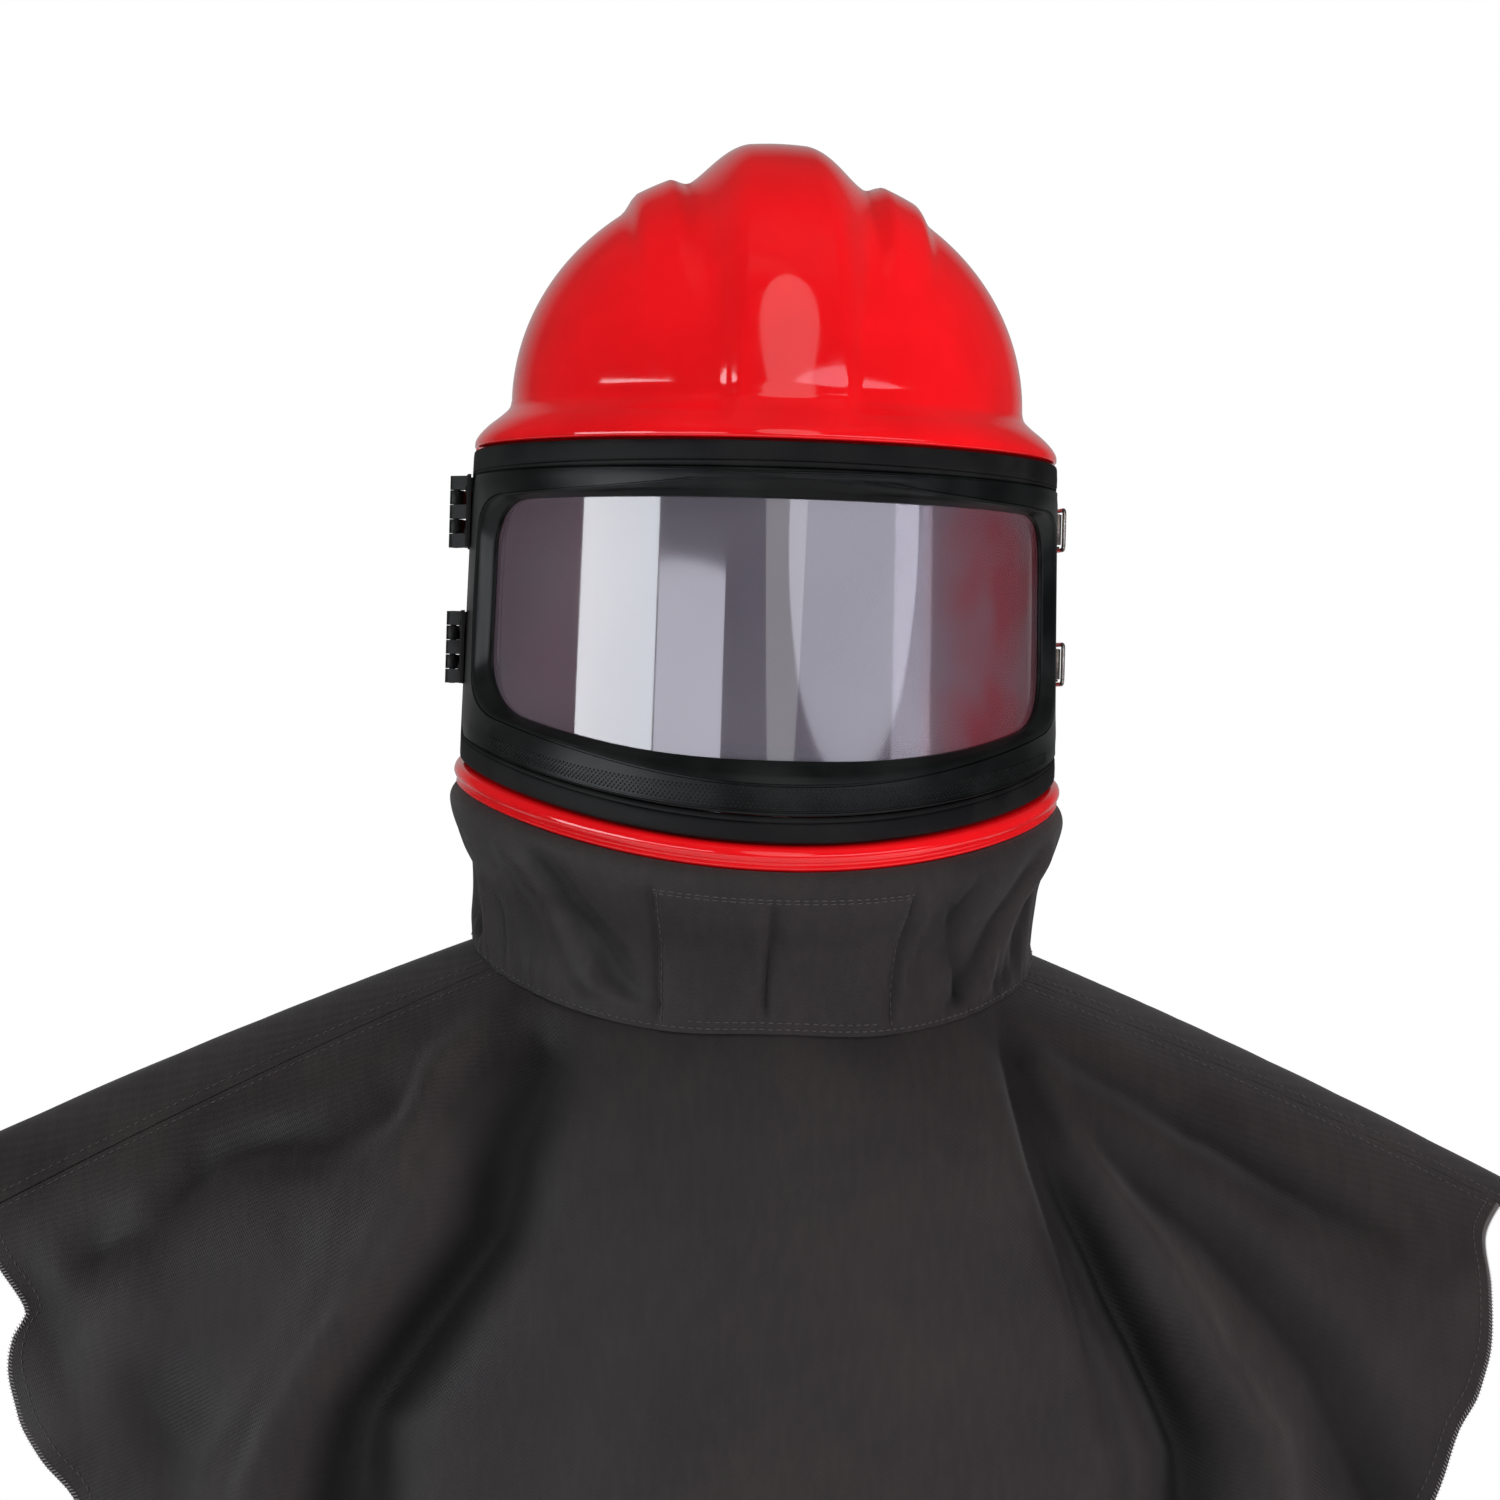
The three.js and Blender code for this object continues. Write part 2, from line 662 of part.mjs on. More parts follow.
function buildLatchBase(name, level, { place, pivot }) {
  const ends = [-latchLength / 2 - latchEarWall, latchLength / 2 - latchEarWall];
  const plate = [
    place(ends[0], seatGap),
    place(ends[1], seatGap),
    place(ends[1], seatGap + latchPlate),
    place(ends[0], seatGap + latchPlate),
  ];
  const ear = [
    place(-latchPivotLead - latchEarHalf, seatGap),
    place(-latchPivotLead + latchEarHalf, seatGap),
    place(-latchPivotLead + 0.8 * latchEarHalf, latchPivotHeight),
    place(-latchPivotLead + 0.45 * latchEarHalf, latchPivotHeight + 0.7 * latchEarHalf),
    place(-latchPivotLead - 0.45 * latchEarHalf, latchPivotHeight + 0.7 * latchEarHalf),
    place(-latchPivotLead - 0.8 * latchEarHalf, latchPivotHeight),
  ];
  const pieces = [upright(plate, level - latchHalfWidth, level + latchHalfWidth)];
  for (const side of [-1, 1]) {
    const near = level + side * latchHalfWidth;
    const far = level + side * (latchHalfWidth - latchEarWall);
    pieces.push(upright(ear, Math.min(near, far), Math.max(near, far)));
  }
  pieces.push(post(pivot, latchPin, level - latchHalfWidth, level + latchHalfWidth, 8));
  addPiece(`latch_base_${name}`, toGeometry(join(pieces)), 'steel');
}

function buildLever(name, level, { place, pivot, bailPivot }) {
  const plateTop = latchPivotHeight + leverRise;
  const start = -latchPivotLead;
  const end = start + leverLength;
  const body = [
    place(start, plateTop - 1.5 * leverPlate),
    place(start + leverTip, plateTop - leverPlate),
    place(end - leverTip, plateTop - leverPlate),
    place(end, plateTop - leverPlate + leverRise),
    place(end, plateTop + leverRise),
    place(end - 1.08 * leverTip, plateTop),
    place(start, plateTop),
  ];
  const low = level - leverHalfWidth;
  const high = level + leverHalfWidth;
  const web = [pivot, bailPivot, place(start + bailThrow, plateTop), place(start, plateTop)];
  const joined = join([
    upright(body, low, high),
    upright(web, low, high),
    post(pivot, 1.8 * latchBore, low, high, 12),
    post(bailPivot, 2 * bailWire, low, high, 10),
  ]);
  const bored = carve(joined, [
    post(pivot, latchBore, low - 1, high + 1, 8),
    post(bailPivot, 1.28 * bailWire, low - 1, high + 1, 8),
  ]);
  addPiece(`latch_lever_${name}`, toGeometry(bored), 'steel');
}

// The hook's crest lies under the bail's crossbar, one small gap clear of it
const keeperCrest = (level) => besideWall(1, -bailReach, level - bailHalfWidth, keeperHook);

function buildKeeper(name, level) {
  const low = level - keeperHalfWidth;
  const high = level + keeperHalfWidth;
  const front = -bailReach - keeperLead;
  const below = level - bailHalfWidth;
  const strip = wallStrip(1, front, front + keeperLength, below, keeperSeat, keeperThickness);
  const crest = keeperCrest(level);
  const hook = [
    besideWall(1, -bailReach - 0.75 * keeperHook, below, 1.25 * keeperSeat),
    { x: crest.x, y: crest.y - keeperCrestHalf },
    { x: crest.x, y: crest.y + keeperCrestHalf },
    { x: crest.x - 0.06 * keeperHook, y: crest.y + 0.63 * keeperHook },
    besideWall(1, -bailReach + 1.06 * keeperHook, below, 1.25 * keeperSeat),
  ];
  const keeper = join([upright(strip, low, high), upright(hook, low, high)]);
  addPiece(`latch_keeper_${name}`, toGeometry(keeper), 'steel');
}

// A round wire along a path of points, mitred at its corners
function wireSolid(path, radius, sides) {
  const directions = path.slice(1).map((point, i) => {
    return new THREE.Vector3().subVectors(point, path[i]).normalize();
  });
  let across = new THREE.Vector3(-directions[0].y, directions[0].x, 0);
  if (across.length() < 0.1) across = new THREE.Vector3(1, 0, 0);
  across.normalize();
  const first = directions[0];
  let ring = spread(0, 2 * Math.PI, sides + 1).slice(0, -1).map((turn) => across.clone()
    .applyAxisAngle(first, turn).multiplyScalar(radius).add(path[0]));
  const rings = [ring];
  for (let i = 1; i < path.length; i += 1) {
    const along = directions[i - 1];
    const ahead = directions[i] ?? along;
    const mitre = new THREE.Plane().setFromNormalAndCoplanarPoint(
      along.clone().add(ahead).normalize(),
      path[i],
    );
    ring = ring.map((point) => {
      const distance = -mitre.distanceToPoint(point) / mitre.normal.dot(along);
      return point.clone().addScaledVector(along, distance);
    });
    rings.push(ring);
  }
  return ringSolid([[path[0]], ...rings, [path.at(-1)]], false);
}

function buildBail(name, level, { bailPivot }) {
  const crest = keeperCrest(level);
  const bar = { x: crest.x + bailWire + bailClear, y: crest.y };
  const slope = new THREE.Vector2(bar.x - bailPivot.x, bar.y - bailPivot.y).normalize();
  const path = [];
  for (const side of [1, -1]) {
    const edge = level + side * bailHalfWidth;
    const tight = 0.4 * bailBend;
    const arm = [
      new THREE.Vector3(bailPivot.x, bailPivot.y, level + side * 0.72 * leverHalfWidth),
      new THREE.Vector3(bailPivot.x, bailPivot.y, edge - side * tight),
      new THREE.Vector3(bailPivot.x + slope.x * tight, bailPivot.y + slope.y * tight, edge),
      new THREE.Vector3(bar.x - slope.x * bailBend, bar.y - slope.y * bailBend, edge),
      new THREE.Vector3(bar.x, bar.y, edge - side * bailBend),
    ];
    path.push(...(side > 0 ? arm : arm.reverse()));
  }
  addPiece(`latch_bail_${name}`, wireSolid(path, bailWire, 6), 'steel');
}

function buildHardware() {
  for (const [name, row] of [['upper', 0], ['lower', 1]]) {
    const level = flangeLevel - hardwareDrop - row * hardwareSpacing;
    buildHinge(name, level);
    const frame = latchFrame(level);
    buildLatchBase(name, level, frame);
    buildLever(name, level, frame);
    buildBail(name, level, frame);
    buildKeeper(name, level);
  }
}

// The cape's surface. fall is the height below the shoulder ridge, positive in front of it and
// negative behind it; x runs across.
const ridgeLevel = (x) => {
  const past = Math.hypot(x, ridgeSoftness) - collarHalfWidth;
  return -shoulderDrop - shoulderSlope * past - shoulderSag * past * past;
};

function bodyOut(x, fall) {
  const share = Math.min(Math.abs(x) / capeHalfSpan, 1);
  const depth = lerp(fall > 0 ? chestDepth : backDepth, tipDepth, share ** 1.6);
  const round = (fall > 0 ? chestRound : backRound) - tipRound * share;
  const down = Math.abs(fall);
  return depth * (1 - Math.exp(-down / round)) + hangSpread * down;
}

function capeSurface(x, fall) {
  const z = ridgeLevel(x) - Math.hypot(fall, ridgeRound) + ridgeRound;
  return new THREE.Vector3(x, ridgeLine - Math.sign(fall) * bodyOut(x, fall), z);
}

function capeNormal(x, fall) {
  const step = 0.5;
  const across = capeSurface(x + step, fall).sub(capeSurface(x - step, fall));
  const down = capeSurface(x, fall + step).sub(capeSurface(x, fall - step));
  return down.cross(across).normalize();
}

// The fall at which the surface passes a point of the plan
function fallAt(x, y) {
  const side = y < ridgeLine ? 1 : -1;
  let low = 0;
  let high = capeBottom;
  for (let i = 0; i < 40; i += 1) {
    const middle = (low + high) / 2;
    if (bodyOut(x, side * middle) < Math.abs(y - ridgeLine)) low = middle;
    else high = middle;
  }
  return side * low;
}

// Folds of the cape: a line from one place to another, as shares of the cape's half span across and
// of its height down, with its width and its height as shares of foldWidth and foldDepth.
const capeFolds = [
  { x0: -0.25, down0: 0.11, x1: -0.34, down1: 0.2, wide: 0.8, high: -1 },
  { x0: -0.34, down0: 0.2, x1: -0.49, down1: 0.34, wide: 0.9, high: -1.1 },
  { x0: -0.49, down0: 0.34, x1: -0.5, down1: 0.8, wide: 1.1, high: -0.9 },
  { x0: -0.38, down0: 0.14, x1: -0.62, down1: 0.42, wide: 0.9, high: 0.8 },
  { x0: -0.62, down0: 0.42, x1: -0.66, down1: 0.85, wide: 1.1, high: 0.7 },
  { x0: -0.62, down0: 0.06, x1: -0.72, down1: 0.2, wide: 0.8, high: -0.6 },
  { x0: 0.34, down0: 0.08, x1: 0.5, down1: 0.34, wide: 0.8, high: -0.9 },
  { x0: 0.5, down0: 0.34, x1: 0.6, down1: 0.8, wide: 1, high: -0.9 },
  { x0: 0.38, down0: 0.08, x1: 0.66, down1: 0.4, wide: 0.7, high: 0.7 },
  { x0: 0.66, down0: 0.4, x1: 0.72, down1: 0.85, wide: 1, high: 0.7 },
  { x0: 0.4, down0: 0.05, x1: 0.9, down1: 0.2, wide: 0.7, high: -0.5 },
  { x0: -0.12, down0: 0.3, x1: -0.16, down1: 0.95, wide: 1.6, high: 0.5 },
  { x0: 0.16, down0: 0.3, x1: 0.2, down1: 0.95, wide: 1.6, high: 0.5 },
];

const backFolds = [
  { x0: -0.3, down0: 0.15, x1: -0.5, down1: 0.9, wide: 1.2, high: 0.8 },
  { x0: 0.3, down0: 0.15, x1: 0.5, down1: 0.9, wide: 1.2, high: 0.8 },
  { x0: -0.1, down0: 0.2, x1: -0.14, down1: 0.95, wide: 1.4, high: -0.7 },
  { x0: 0.12, down0: 0.2, x1: 0.16, down1: 0.95, wide: 1.4, high: -0.7 },
];

function foldHeight(x, fall, folds) {
  const across = capeHalfSpan;
  const tall = capeBottom - shoulderDrop;
  const here = new THREE.Vector3(x, Math.abs(fall), 0);
  let height = 0;
  for (const fold of folds) {
    const line = new THREE.Line3(
      new THREE.Vector3(fold.x0 * across, fold.down0 * tall, 0),
      new THREE.Vector3(fold.x1 * across, fold.down1 * tall, 0),
    );
    const nearest = line.closestPointToPoint(here, true, new THREE.Vector3());
    const away = nearest.distanceTo(here) / (fold.wide * foldWidth);
    height += fold.high * foldDepth * Math.exp(-away * away);
  }
  return height;
}

// The half span of the cape at a fall: wide at the shoulder tips, narrower towards its hem
const hemReach = (fall) => {
  const taper = Math.exp(-Math.abs(fall) / capeTaper);
  return capeWaist + (capeHalfSpan - capeWaist) * taper;
};

const seamFallAt = (x) => {
  const share = (Math.abs(x) - neckHalfWidth) / (capeHalfSpan - neckHalfWidth);
  return seamFall + (x < 0 ? seamTipDrop * clamp(share, 0, 1) : 0);
};

// Where the neck edge crosses the shoulder seam
function neckSeamAngle(side) {
  let low = 0;
  let high = rightAngle;
  for (let i = 0; i < 40; i += 1) {
    const middle = (low + high) / 2;
    const point = neckEdge(side * middle);
    if (point.fall > seamFall) low = middle;
    else high = middle;
  }
  return side * low;
}

function neckEdge(theta) {
  const plan = { half: neckHalfWidth, front: neckFront, back: neckBack };
  const point = planPoint(plan, theta, 0, 0);
  return { x: point.x, fall: fallAt(point.x, point.y) };
}

// Rows of a panel from the neck to its border, closer together near the neck
const rowCrowding = 0.65;
const rowShares = spread(0, 1, 12).map((share) => lerp(share, share * share, rowCrowding));

// One panel: rays run from the neck edge to the seam's tip, the side hems and the bottom hem.
function capePanel(front) {
  const sign = front ? 1 : -1;
  const hemFall = (x) => ridgeLevel(x) + capeBottom;
  const tip = (side) => seamFallAt(side * capeHalfSpan) + sign * seamGap;
  const cornerReach = hemReach(hemFall(capeWaist));
  const sideHem = (side, share) => {
    const fall = lerp(tip(side), sign * hemFall(cornerReach), share ** 1.5);
    return { x: side * hemReach(fall), fall };
  };
  const bottomHem = (share) => {
    const x = lerp(-cornerReach, cornerReach, share);
    return { x, fall: sign * hemFall(x) };
  };
  const border = [
    ...spread(0, 1, 10).slice(0, -1).map((share) => sideHem(-1, share)),
    ...spread(0, 1, 13).map(bottomHem),
    ...spread(1, 0, 10).slice(1).map((share) => sideHem(1, share)),
  ];
  const seams = [neckSeamAngle(-1), neckSeamAngle(1)];
  const around = front ? seams : [seams[0], seams[1] - 2 * Math.PI];
  const neck = spread(...around, border.length).map(neckEdge);
  neck[0].fall = seamFall + sign * seamGap;
  neck.at(-1).fall = neck[0].fall;
  const folds = front ? capeFolds : backFolds;
  const grid = (inset) => neck.map((start, i) => rowShares.map((share) => {
    const x = lerp(start.x, border[i].x, share);
    const fall = lerp(start.fall, border[i].fall, share);
    const calm = smoothstep(share, 0.02, 0.2) * smoothstep(Math.abs(fall), ridgeCalm, foldCalm);
    const height = foldHeight(x, fall, folds) * calm;
    return capeSurface(x, fall).addScaledVector(capeNormal(x, fall), height - inset);
  }));
  return sheetSolid(grid(0), grid(clothWall));
}

// Collar rows: share of its height, how far it slumps out as a share of collarSlump, and the share
// of the way from the wall's plan to the collar's lower edge. The inside skips the rows that only
// round the outside.
const collarRows = [
  { down: 0, slump: 0.18, reach: 0, lining: true },
  { down: 0.03, slump: 0.62, reach: 0, lining: false },
  { down: 0.14, slump: 1, reach: 0.05, lining: true },
  { down: 0.32, slump: 0.6, reach: 0.3, lining: true },
  { down: 0.46, slump: 0.05, reach: 0.6, lining: true },
  { down: 0.62, slump: 0, reach: 0.85, lining: true },
  { down: 0.82, slump: 0.1, reach: 1, lining: false },
  { down: 1, slump: 0, reach: 1, lining: true },
];

// Creases of the collar: angle at the top and at the bottom in degrees, width in degrees, depth as a
// share of collarSlump
const collarCreases = [
  { top: -52, foot: -28, wide: 5, deep: -0.7 },
  { top: -60, foot: -40, wide: 6, deep: 0.4 },
  { top: 72, foot: 34, wide: 5, deep: -0.6 },
  { top: 84, foot: 52, wide: 5, deep: -0.5 },
  { top: -95, foot: -80, wide: 7, deep: -0.6 },
  { top: 120, foot: 135, wide: 9, deep: -0.7 },
  { top: -130, foot: -120, wide: 9, deep: -0.7 },
  { top: 175, foot: 170, wide: 10, deep: 0.8 },
];

function creaseDepth(theta, down) {
  let depth = 0;
  for (const crease of collarCreases) {
    const centre = degToRad(lerp(crease.top, crease.foot, down));
    const gap = Math.atan2(Math.sin(theta - centre), Math.cos(theta - centre));
    const away = gap / degToRad(crease.wide);
    depth += crease.deep * collarSlump * Math.exp(-away * away);
  }
  return depth * smoothstep(down, 0.05, 0.3) * (1 - smoothstep(down, 0.7, 1));
}

function buildCollar() {
  const foot = { half: collarHalfWidth, front: collarFront, back: collarBack };
  const angles = spread(-Math.PI, Math.PI, 45).slice(0, -1);
  const ring = (row, inset) => angles.map((theta) => {
    const edge = planPoint(foot, theta, 0, -inset);
    const low = capeSurface(edge.x, fallAt(edge.x, edge.y)).z + clothGap;
    const high = rimLevel(theta) - 1.02 * beadHeight - seatGap;
    const z = lerp(high, low, row.down);
    const plan = mixPlans(wallPlanAt(high), foot, row.reach);
    const slump = row.slump * collarSlump + creaseDepth(theta, row.down);
    return planPoint(plan, theta, z, slump - inset);
  });
  const outside = collarRows.map((row) => ring(row, 0));
  const liningRows = collarRows.filter((row) => row.lining);
  const inside = liningRows.map((row) => ring(row, clothWall)).reverse();
  return ringSolid([...outside, ...inside], true);
}

addPiece('helmet_shell', buildShell(), 'redShell');
buildWindow();
buildHardware();
addPiece('collar', buildCollar(), 'cloth');
addPiece('cape_front', capePanel(true), 'cloth');
addPiece('cape_back', capePanel(false), 'cloth');

export default hood;
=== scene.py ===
"""Sandblasting hood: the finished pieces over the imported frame, one operator for each group of them."""
import math

import bpy
import numpy as np
from bpy.props import FloatProperty, FloatVectorProperty, PointerProperty
from bpy.types import Operator, Panel, PropertyGroup
from mathutils import Matrix, Vector


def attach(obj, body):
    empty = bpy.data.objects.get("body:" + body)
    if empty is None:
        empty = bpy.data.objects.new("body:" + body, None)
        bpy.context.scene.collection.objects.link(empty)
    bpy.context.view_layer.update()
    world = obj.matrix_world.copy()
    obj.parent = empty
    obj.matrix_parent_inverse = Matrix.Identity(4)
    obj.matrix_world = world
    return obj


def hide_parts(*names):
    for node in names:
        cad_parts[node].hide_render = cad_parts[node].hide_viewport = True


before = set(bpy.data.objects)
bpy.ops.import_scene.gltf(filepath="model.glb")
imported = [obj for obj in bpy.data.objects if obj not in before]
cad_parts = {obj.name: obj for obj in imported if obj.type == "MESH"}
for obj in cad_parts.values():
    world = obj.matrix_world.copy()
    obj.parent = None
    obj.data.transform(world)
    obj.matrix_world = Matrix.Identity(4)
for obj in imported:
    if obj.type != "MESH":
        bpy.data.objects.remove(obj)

bl_info = {
    "name": "Sandblasting hood",
    "version": (1, 0, 0),
    "blender": (4, 5, 0),
    "location": "View3D > Sidebar > Hood",
    "description": "Builds the helmet, window, hardware and cloth of a sandblasting hood over its frame",
    "category": "Object",
}

# Sizes in millimetres. Those of the shell, window, hardware and cloth repeat the frame's own, so that
# every finished surface lies where the solid it stands for does.
MM = 0.001
SHELL_WALL = 3
DOME_HALF_WIDTH = 109.5
DOME_FRONT = 121
DOME_BACK = 141
DOME_RISE = 100
RIDGE_HEIGHT = 12.7
RIDGE_HALF_WIDTH = 25
SIDE_RIB_HEIGHT = 4.5
SIDE_RIB_REACH = 51
SHOULDER_HEIGHT = 20.5
WALL_HALF_WIDTH = 124.7
WALL_FLARE = 2.6
FACE_PROUD = 13.3
WALL_BACK = 142
NAPE_TAPER = 14
FACE_HEIGHT = 164.8
RIM_SIDE_RISE = 30.7
RIM_NAPE_RISE = 20.6
BEAD_HEIGHT = 10
NECK_FLANGE_HEIGHT = 16
NECK_FLANGE_INSET = 3
RECESS_DEPTH = 9.5
RECESS_HALF_ANGLE = math.radians(94.5)
RECESS_SLOPE = math.radians(2)
RECESS_LIP = 0.8
DOOR_GAP = 1
DOOR_BACK_GAP = 0.8
SEAL_HALF_ANGLE = math.radians(93)
SEAL_WIDTH = 11
FRAME_TOP_BAR = 12
FRAME_BOTTOM_BAR = 22.3
OPENING_HALF_ANGLE = math.radians(75)
OPENING_TOP_CORNER = (32, 20)
OPENING_LOW_CORNER = (36, 22)
OPENING_SIDE_RISE = 22
REBATE_WIDTH = 6.8
REBATE_DEPTH = 6.6
LENS_THICKNESS = 2
LENS_MARGIN = 6
HARDWARE_DROP = 27.8
HARDWARE_SPACING = 58
HINGE_HEIGHT = 31
HINGE_STANDOFF = 5.9
HINGE_SETBACK = 8
HINGE_BARREL = 3
HINGE_PIN = 1.3
HINGE_BORE = 1.55
HINGE_ARM_LENGTH = 5
LEAF_THICKNESS = 1.3
LEAF_LENGTH = 16
FRAME_LEAF_LEAD = 2
SHELL_LEAF_LEAD = 8
KNUCKLE_COUNT = 5
RIVET_RADIUS = 2.4
RIVET_PROUD = 0.7
RIVET_PLACE = 0.62
RIVET_SPREAD = 0.28
LATCH_SETBACK = 31.5
LATCH_LENGTH = 30
LATCH_HALF_WIDTH = 7.2
LATCH_PLATE = 1.2
LATCH_EAR_HALF = 3.6
LATCH_EAR_WALL = 1
LATCH_PIVOT_HEIGHT = 4.8
LATCH_PIVOT_LEAD = 10
LATCH_PIN = 1.2
LATCH_BORE = 1.45
LEVER_LENGTH = 30
LEVER_HALF_WIDTH = 5
LEVER_PLATE = 1.2
LEVER_RISE = 2.2
LEVER_TIP = 8
BAIL_PIVOT_DROP = 0.6
BAIL_WIRE = 0.9
BAIL_THROW = 5
BAIL_REACH = 2.95
BAIL_HALF_WIDTH = 8.6
BAIL_CLEAR = 0.4
KEEPER_HALF_WIDTH = 6.5
KEEPER_LENGTH = 13
KEEPER_LEAD = 5.5
KEEPER_THICKNESS = 1.2
KEEPER_SEAT = 0.8
KEEPER_HOOK = 3.2
KEEPER_CREST_HALF = 0.9
CLOTH_WALL = 2
COLLAR_HALF_WIDTH = 120
COLLAR_FRONT = 121
COLLAR_BACK = 118
COLLAR_SLUMP = 4.5
NECK_HALF_WIDTH = 112.5
NECK_FRONT = 112.5
NECK_BACK = 110
RIDGE_LINE = 4
SHOULDER_DROP = 340
SHOULDER_SLOPE = 0.394
SHOULDER_SAG = 0.000226
CAPE_HALF_SPAN = 338
CAPE_WAIST = 235
CAPE_TAPER = 220
CAPE_BOTTOM = 890
CHEST_DEPTH = 150
BACK_DEPTH = 140
TIP_DEPTH = 70
CHEST_ROUND = 44
BACK_ROUND = 28
TIP_ROUND = 10
HANG_SPREAD = 0.07
SEAM_FALL = 15
SEAM_TIP_DROP = 17
RIDGE_SOFTNESS = 25
RIDGE_ROUND = 3
SEAT_GAP = 0.3
CLOTH_GAP = 0.8
SEAM_GAP = 0.1
SEAL_CORNER = (6, 6)
FRAME_CORNER = (12, 10)
GROOVE_REACH = 9.4
COLLAR_FADE = 0.12
FLOOR_DROP = 28
FLOOR_RADIUS = 1850
FLOOR_THICKNESS = 12

# The camera in metres and degrees, and the level that the lights turn round
CAMERA_AZIMUTH = -4.7
CAMERA_ROLL = 1.6
CAMERA_DISTANCE = 2.1
CAMERA_LEVEL = -0.2567
CAMERA_SHIFT = -0.0031
CAMERA_LENS_MM = 117.2
LIGHT_LEVEL = -0.26

# Levels worked out from the sizes above
DOME_BASE = SHELL_WALL - DOME_RISE - RIDGE_HEIGHT
FLANGE_LEVEL = DOME_BASE - SHOULDER_HEIGHT
RECESS_TOP = FLANGE_LEVEL - RECESS_LIP
WALL_DROP = FACE_HEIGHT - RIM_SIDE_RISE
CAPE_TALL = CAPE_BOTTOM - SHOULDER_DROP


def linear(colour):
    """An sRGB hex colour as linear red, green, blue and alpha."""
    channels = [int(colour[i:i + 2], 16) / 255 for i in (1, 3, 5)]
    turned = [c / 12.92 if c <= 0.04045 else ((c + 0.055) / 1.055) ** 2.4 for c in channels]
    return (*turned, 1.0)


def lerp(a, b, share):
    return a + (b - a) * share


def smoothstep(x, low, high):
    share = np.clip((x - low) / (high - low), 0, 1)
    return share * share * (3 - 2 * share)


def smooth_through(at, places, values):
    """A curve through the given values without overshoot, read at some places."""
    places, values = np.asarray(places, float), np.asarray(values, float)
    slopes = np.diff(values) / np.diff(places)
    tangents = np.concatenate([[slopes[0]], (slopes[1:] + slopes[:-1]) / 2, [slopes[-1]]])
    flat = np.concatenate([[False], slopes[1:] * slopes[:-1] <= 0, [False]])
    tangents[flat] = 0
    cell = np.clip(np.searchsorted(places, at, side="right") - 1, 0, len(slopes) - 1)
    width = places[cell + 1] - places[cell]
    t = (at - places[cell]) / width
    low, high = values[cell], values[cell + 1]
    rise = t * t * (3 - 2 * t)
    leave = t * (1 - t) ** 2 * width * tangents[cell]
    arrive = t * t * (1 - t) * width * tangents[cell + 1]
    return low + (high - low) * rise + leave - arrive


def value_noise(x, y, seed):
    """Smooth noise from -1 to 1 over a plane, with one bump for each unit of x and y."""
    table = np.random.default_rng(seed).uniform(-1, 1, (64, 64))
    column, row = np.floor(x).astype(int), np.floor(y).astype(int)
    u, v = smoothstep(x - column, 0, 1), smoothstep(y - row, 0, 1)
    near = lerp(table[row % 64, column % 64], table[row % 64, (column + 1) % 64], u)
    far = lerp(table[(row + 1) % 64, column % 64], table[(row + 1) % 64, (column + 1) % 64], u)
    return lerp(near, far, v)


# The helmet's surfaces. theta runs round the head from the front, positive towards +X.
def rim_level(theta):
    forward = np.cos(theta)
    sides = RIM_SIDE_RISE * (1 - forward / 2)
    ends = np.where(forward >= 0, -RIM_SIDE_RISE / 2, RIM_NAPE_RISE)
    return FLANGE_LEVEL - FACE_HEIGHT + sides + ends * forward ** 2


def wall_plan(z):
    down = np.clip((FLANGE_LEVEL - z) / WALL_DROP, 0, 1.3)
    half = WALL_HALF_WIDTH + WALL_FLARE * down
    return half, half + FACE_PROUD, WALL_BACK - NAPE_TAPER * down


def mixed_plan(first, second, share):
    return tuple(lerp(a, b, share) for a, b in zip(first, second))


def plan_point(plan, theta, z, out):
    """The point of an egg-shaped plan at an angle and level, moved out along the plan's normal."""
    half, front, back = plan
    side, ahead = np.sin(theta), -np.cos(theta)
    depth = np.where(ahead <= 0, front, back)
    across, along = side / half, ahead / depth
    length = np.hypot(across, along)
    x = half * side + out * across / length
    y = depth * ahead + out * along / length
    return np.stack(np.broadcast_arrays(x, y, z), axis=-1)


def wall_point(theta, z, out):
    return plan_point(wall_plan(z), theta, z, out)


def recess_share(theta):
    """1 over the window recess and 0 behind it, with a rounded step between."""
    return 1 - smoothstep(np.abs(theta), RECESS_HALF_ANGLE, RECESS_HALF_ANGLE + RECESS_SLOPE)


def rib_height(x, rise):
    """Height of the pressed ribs over the plain dome. rise is 0 at the brim and 1 at the crown."""
    across = np.abs(x)
    start = RIDGE_HALF_WIDTH * lerp(0.85, 0.4, rise)
    end = RIDGE_HALF_WIDTH * lerp(1.15, 1.62, rise)
    fade = lerp(0.4, 1, smoothstep(rise, 0, 0.75))
    centre = RIDGE_HEIGHT * fade * (1 - smoothstep(across, start, end))
    offset = across / SIDE_RIB_REACH
    band = smoothstep(offset, 0.73, 0.87) * (1 - smoothstep(offset, 1.1, 1.29))
    return centre + SIDE_RIB_HEIGHT * band * smoothstep(rise, 0.35, 0.8)


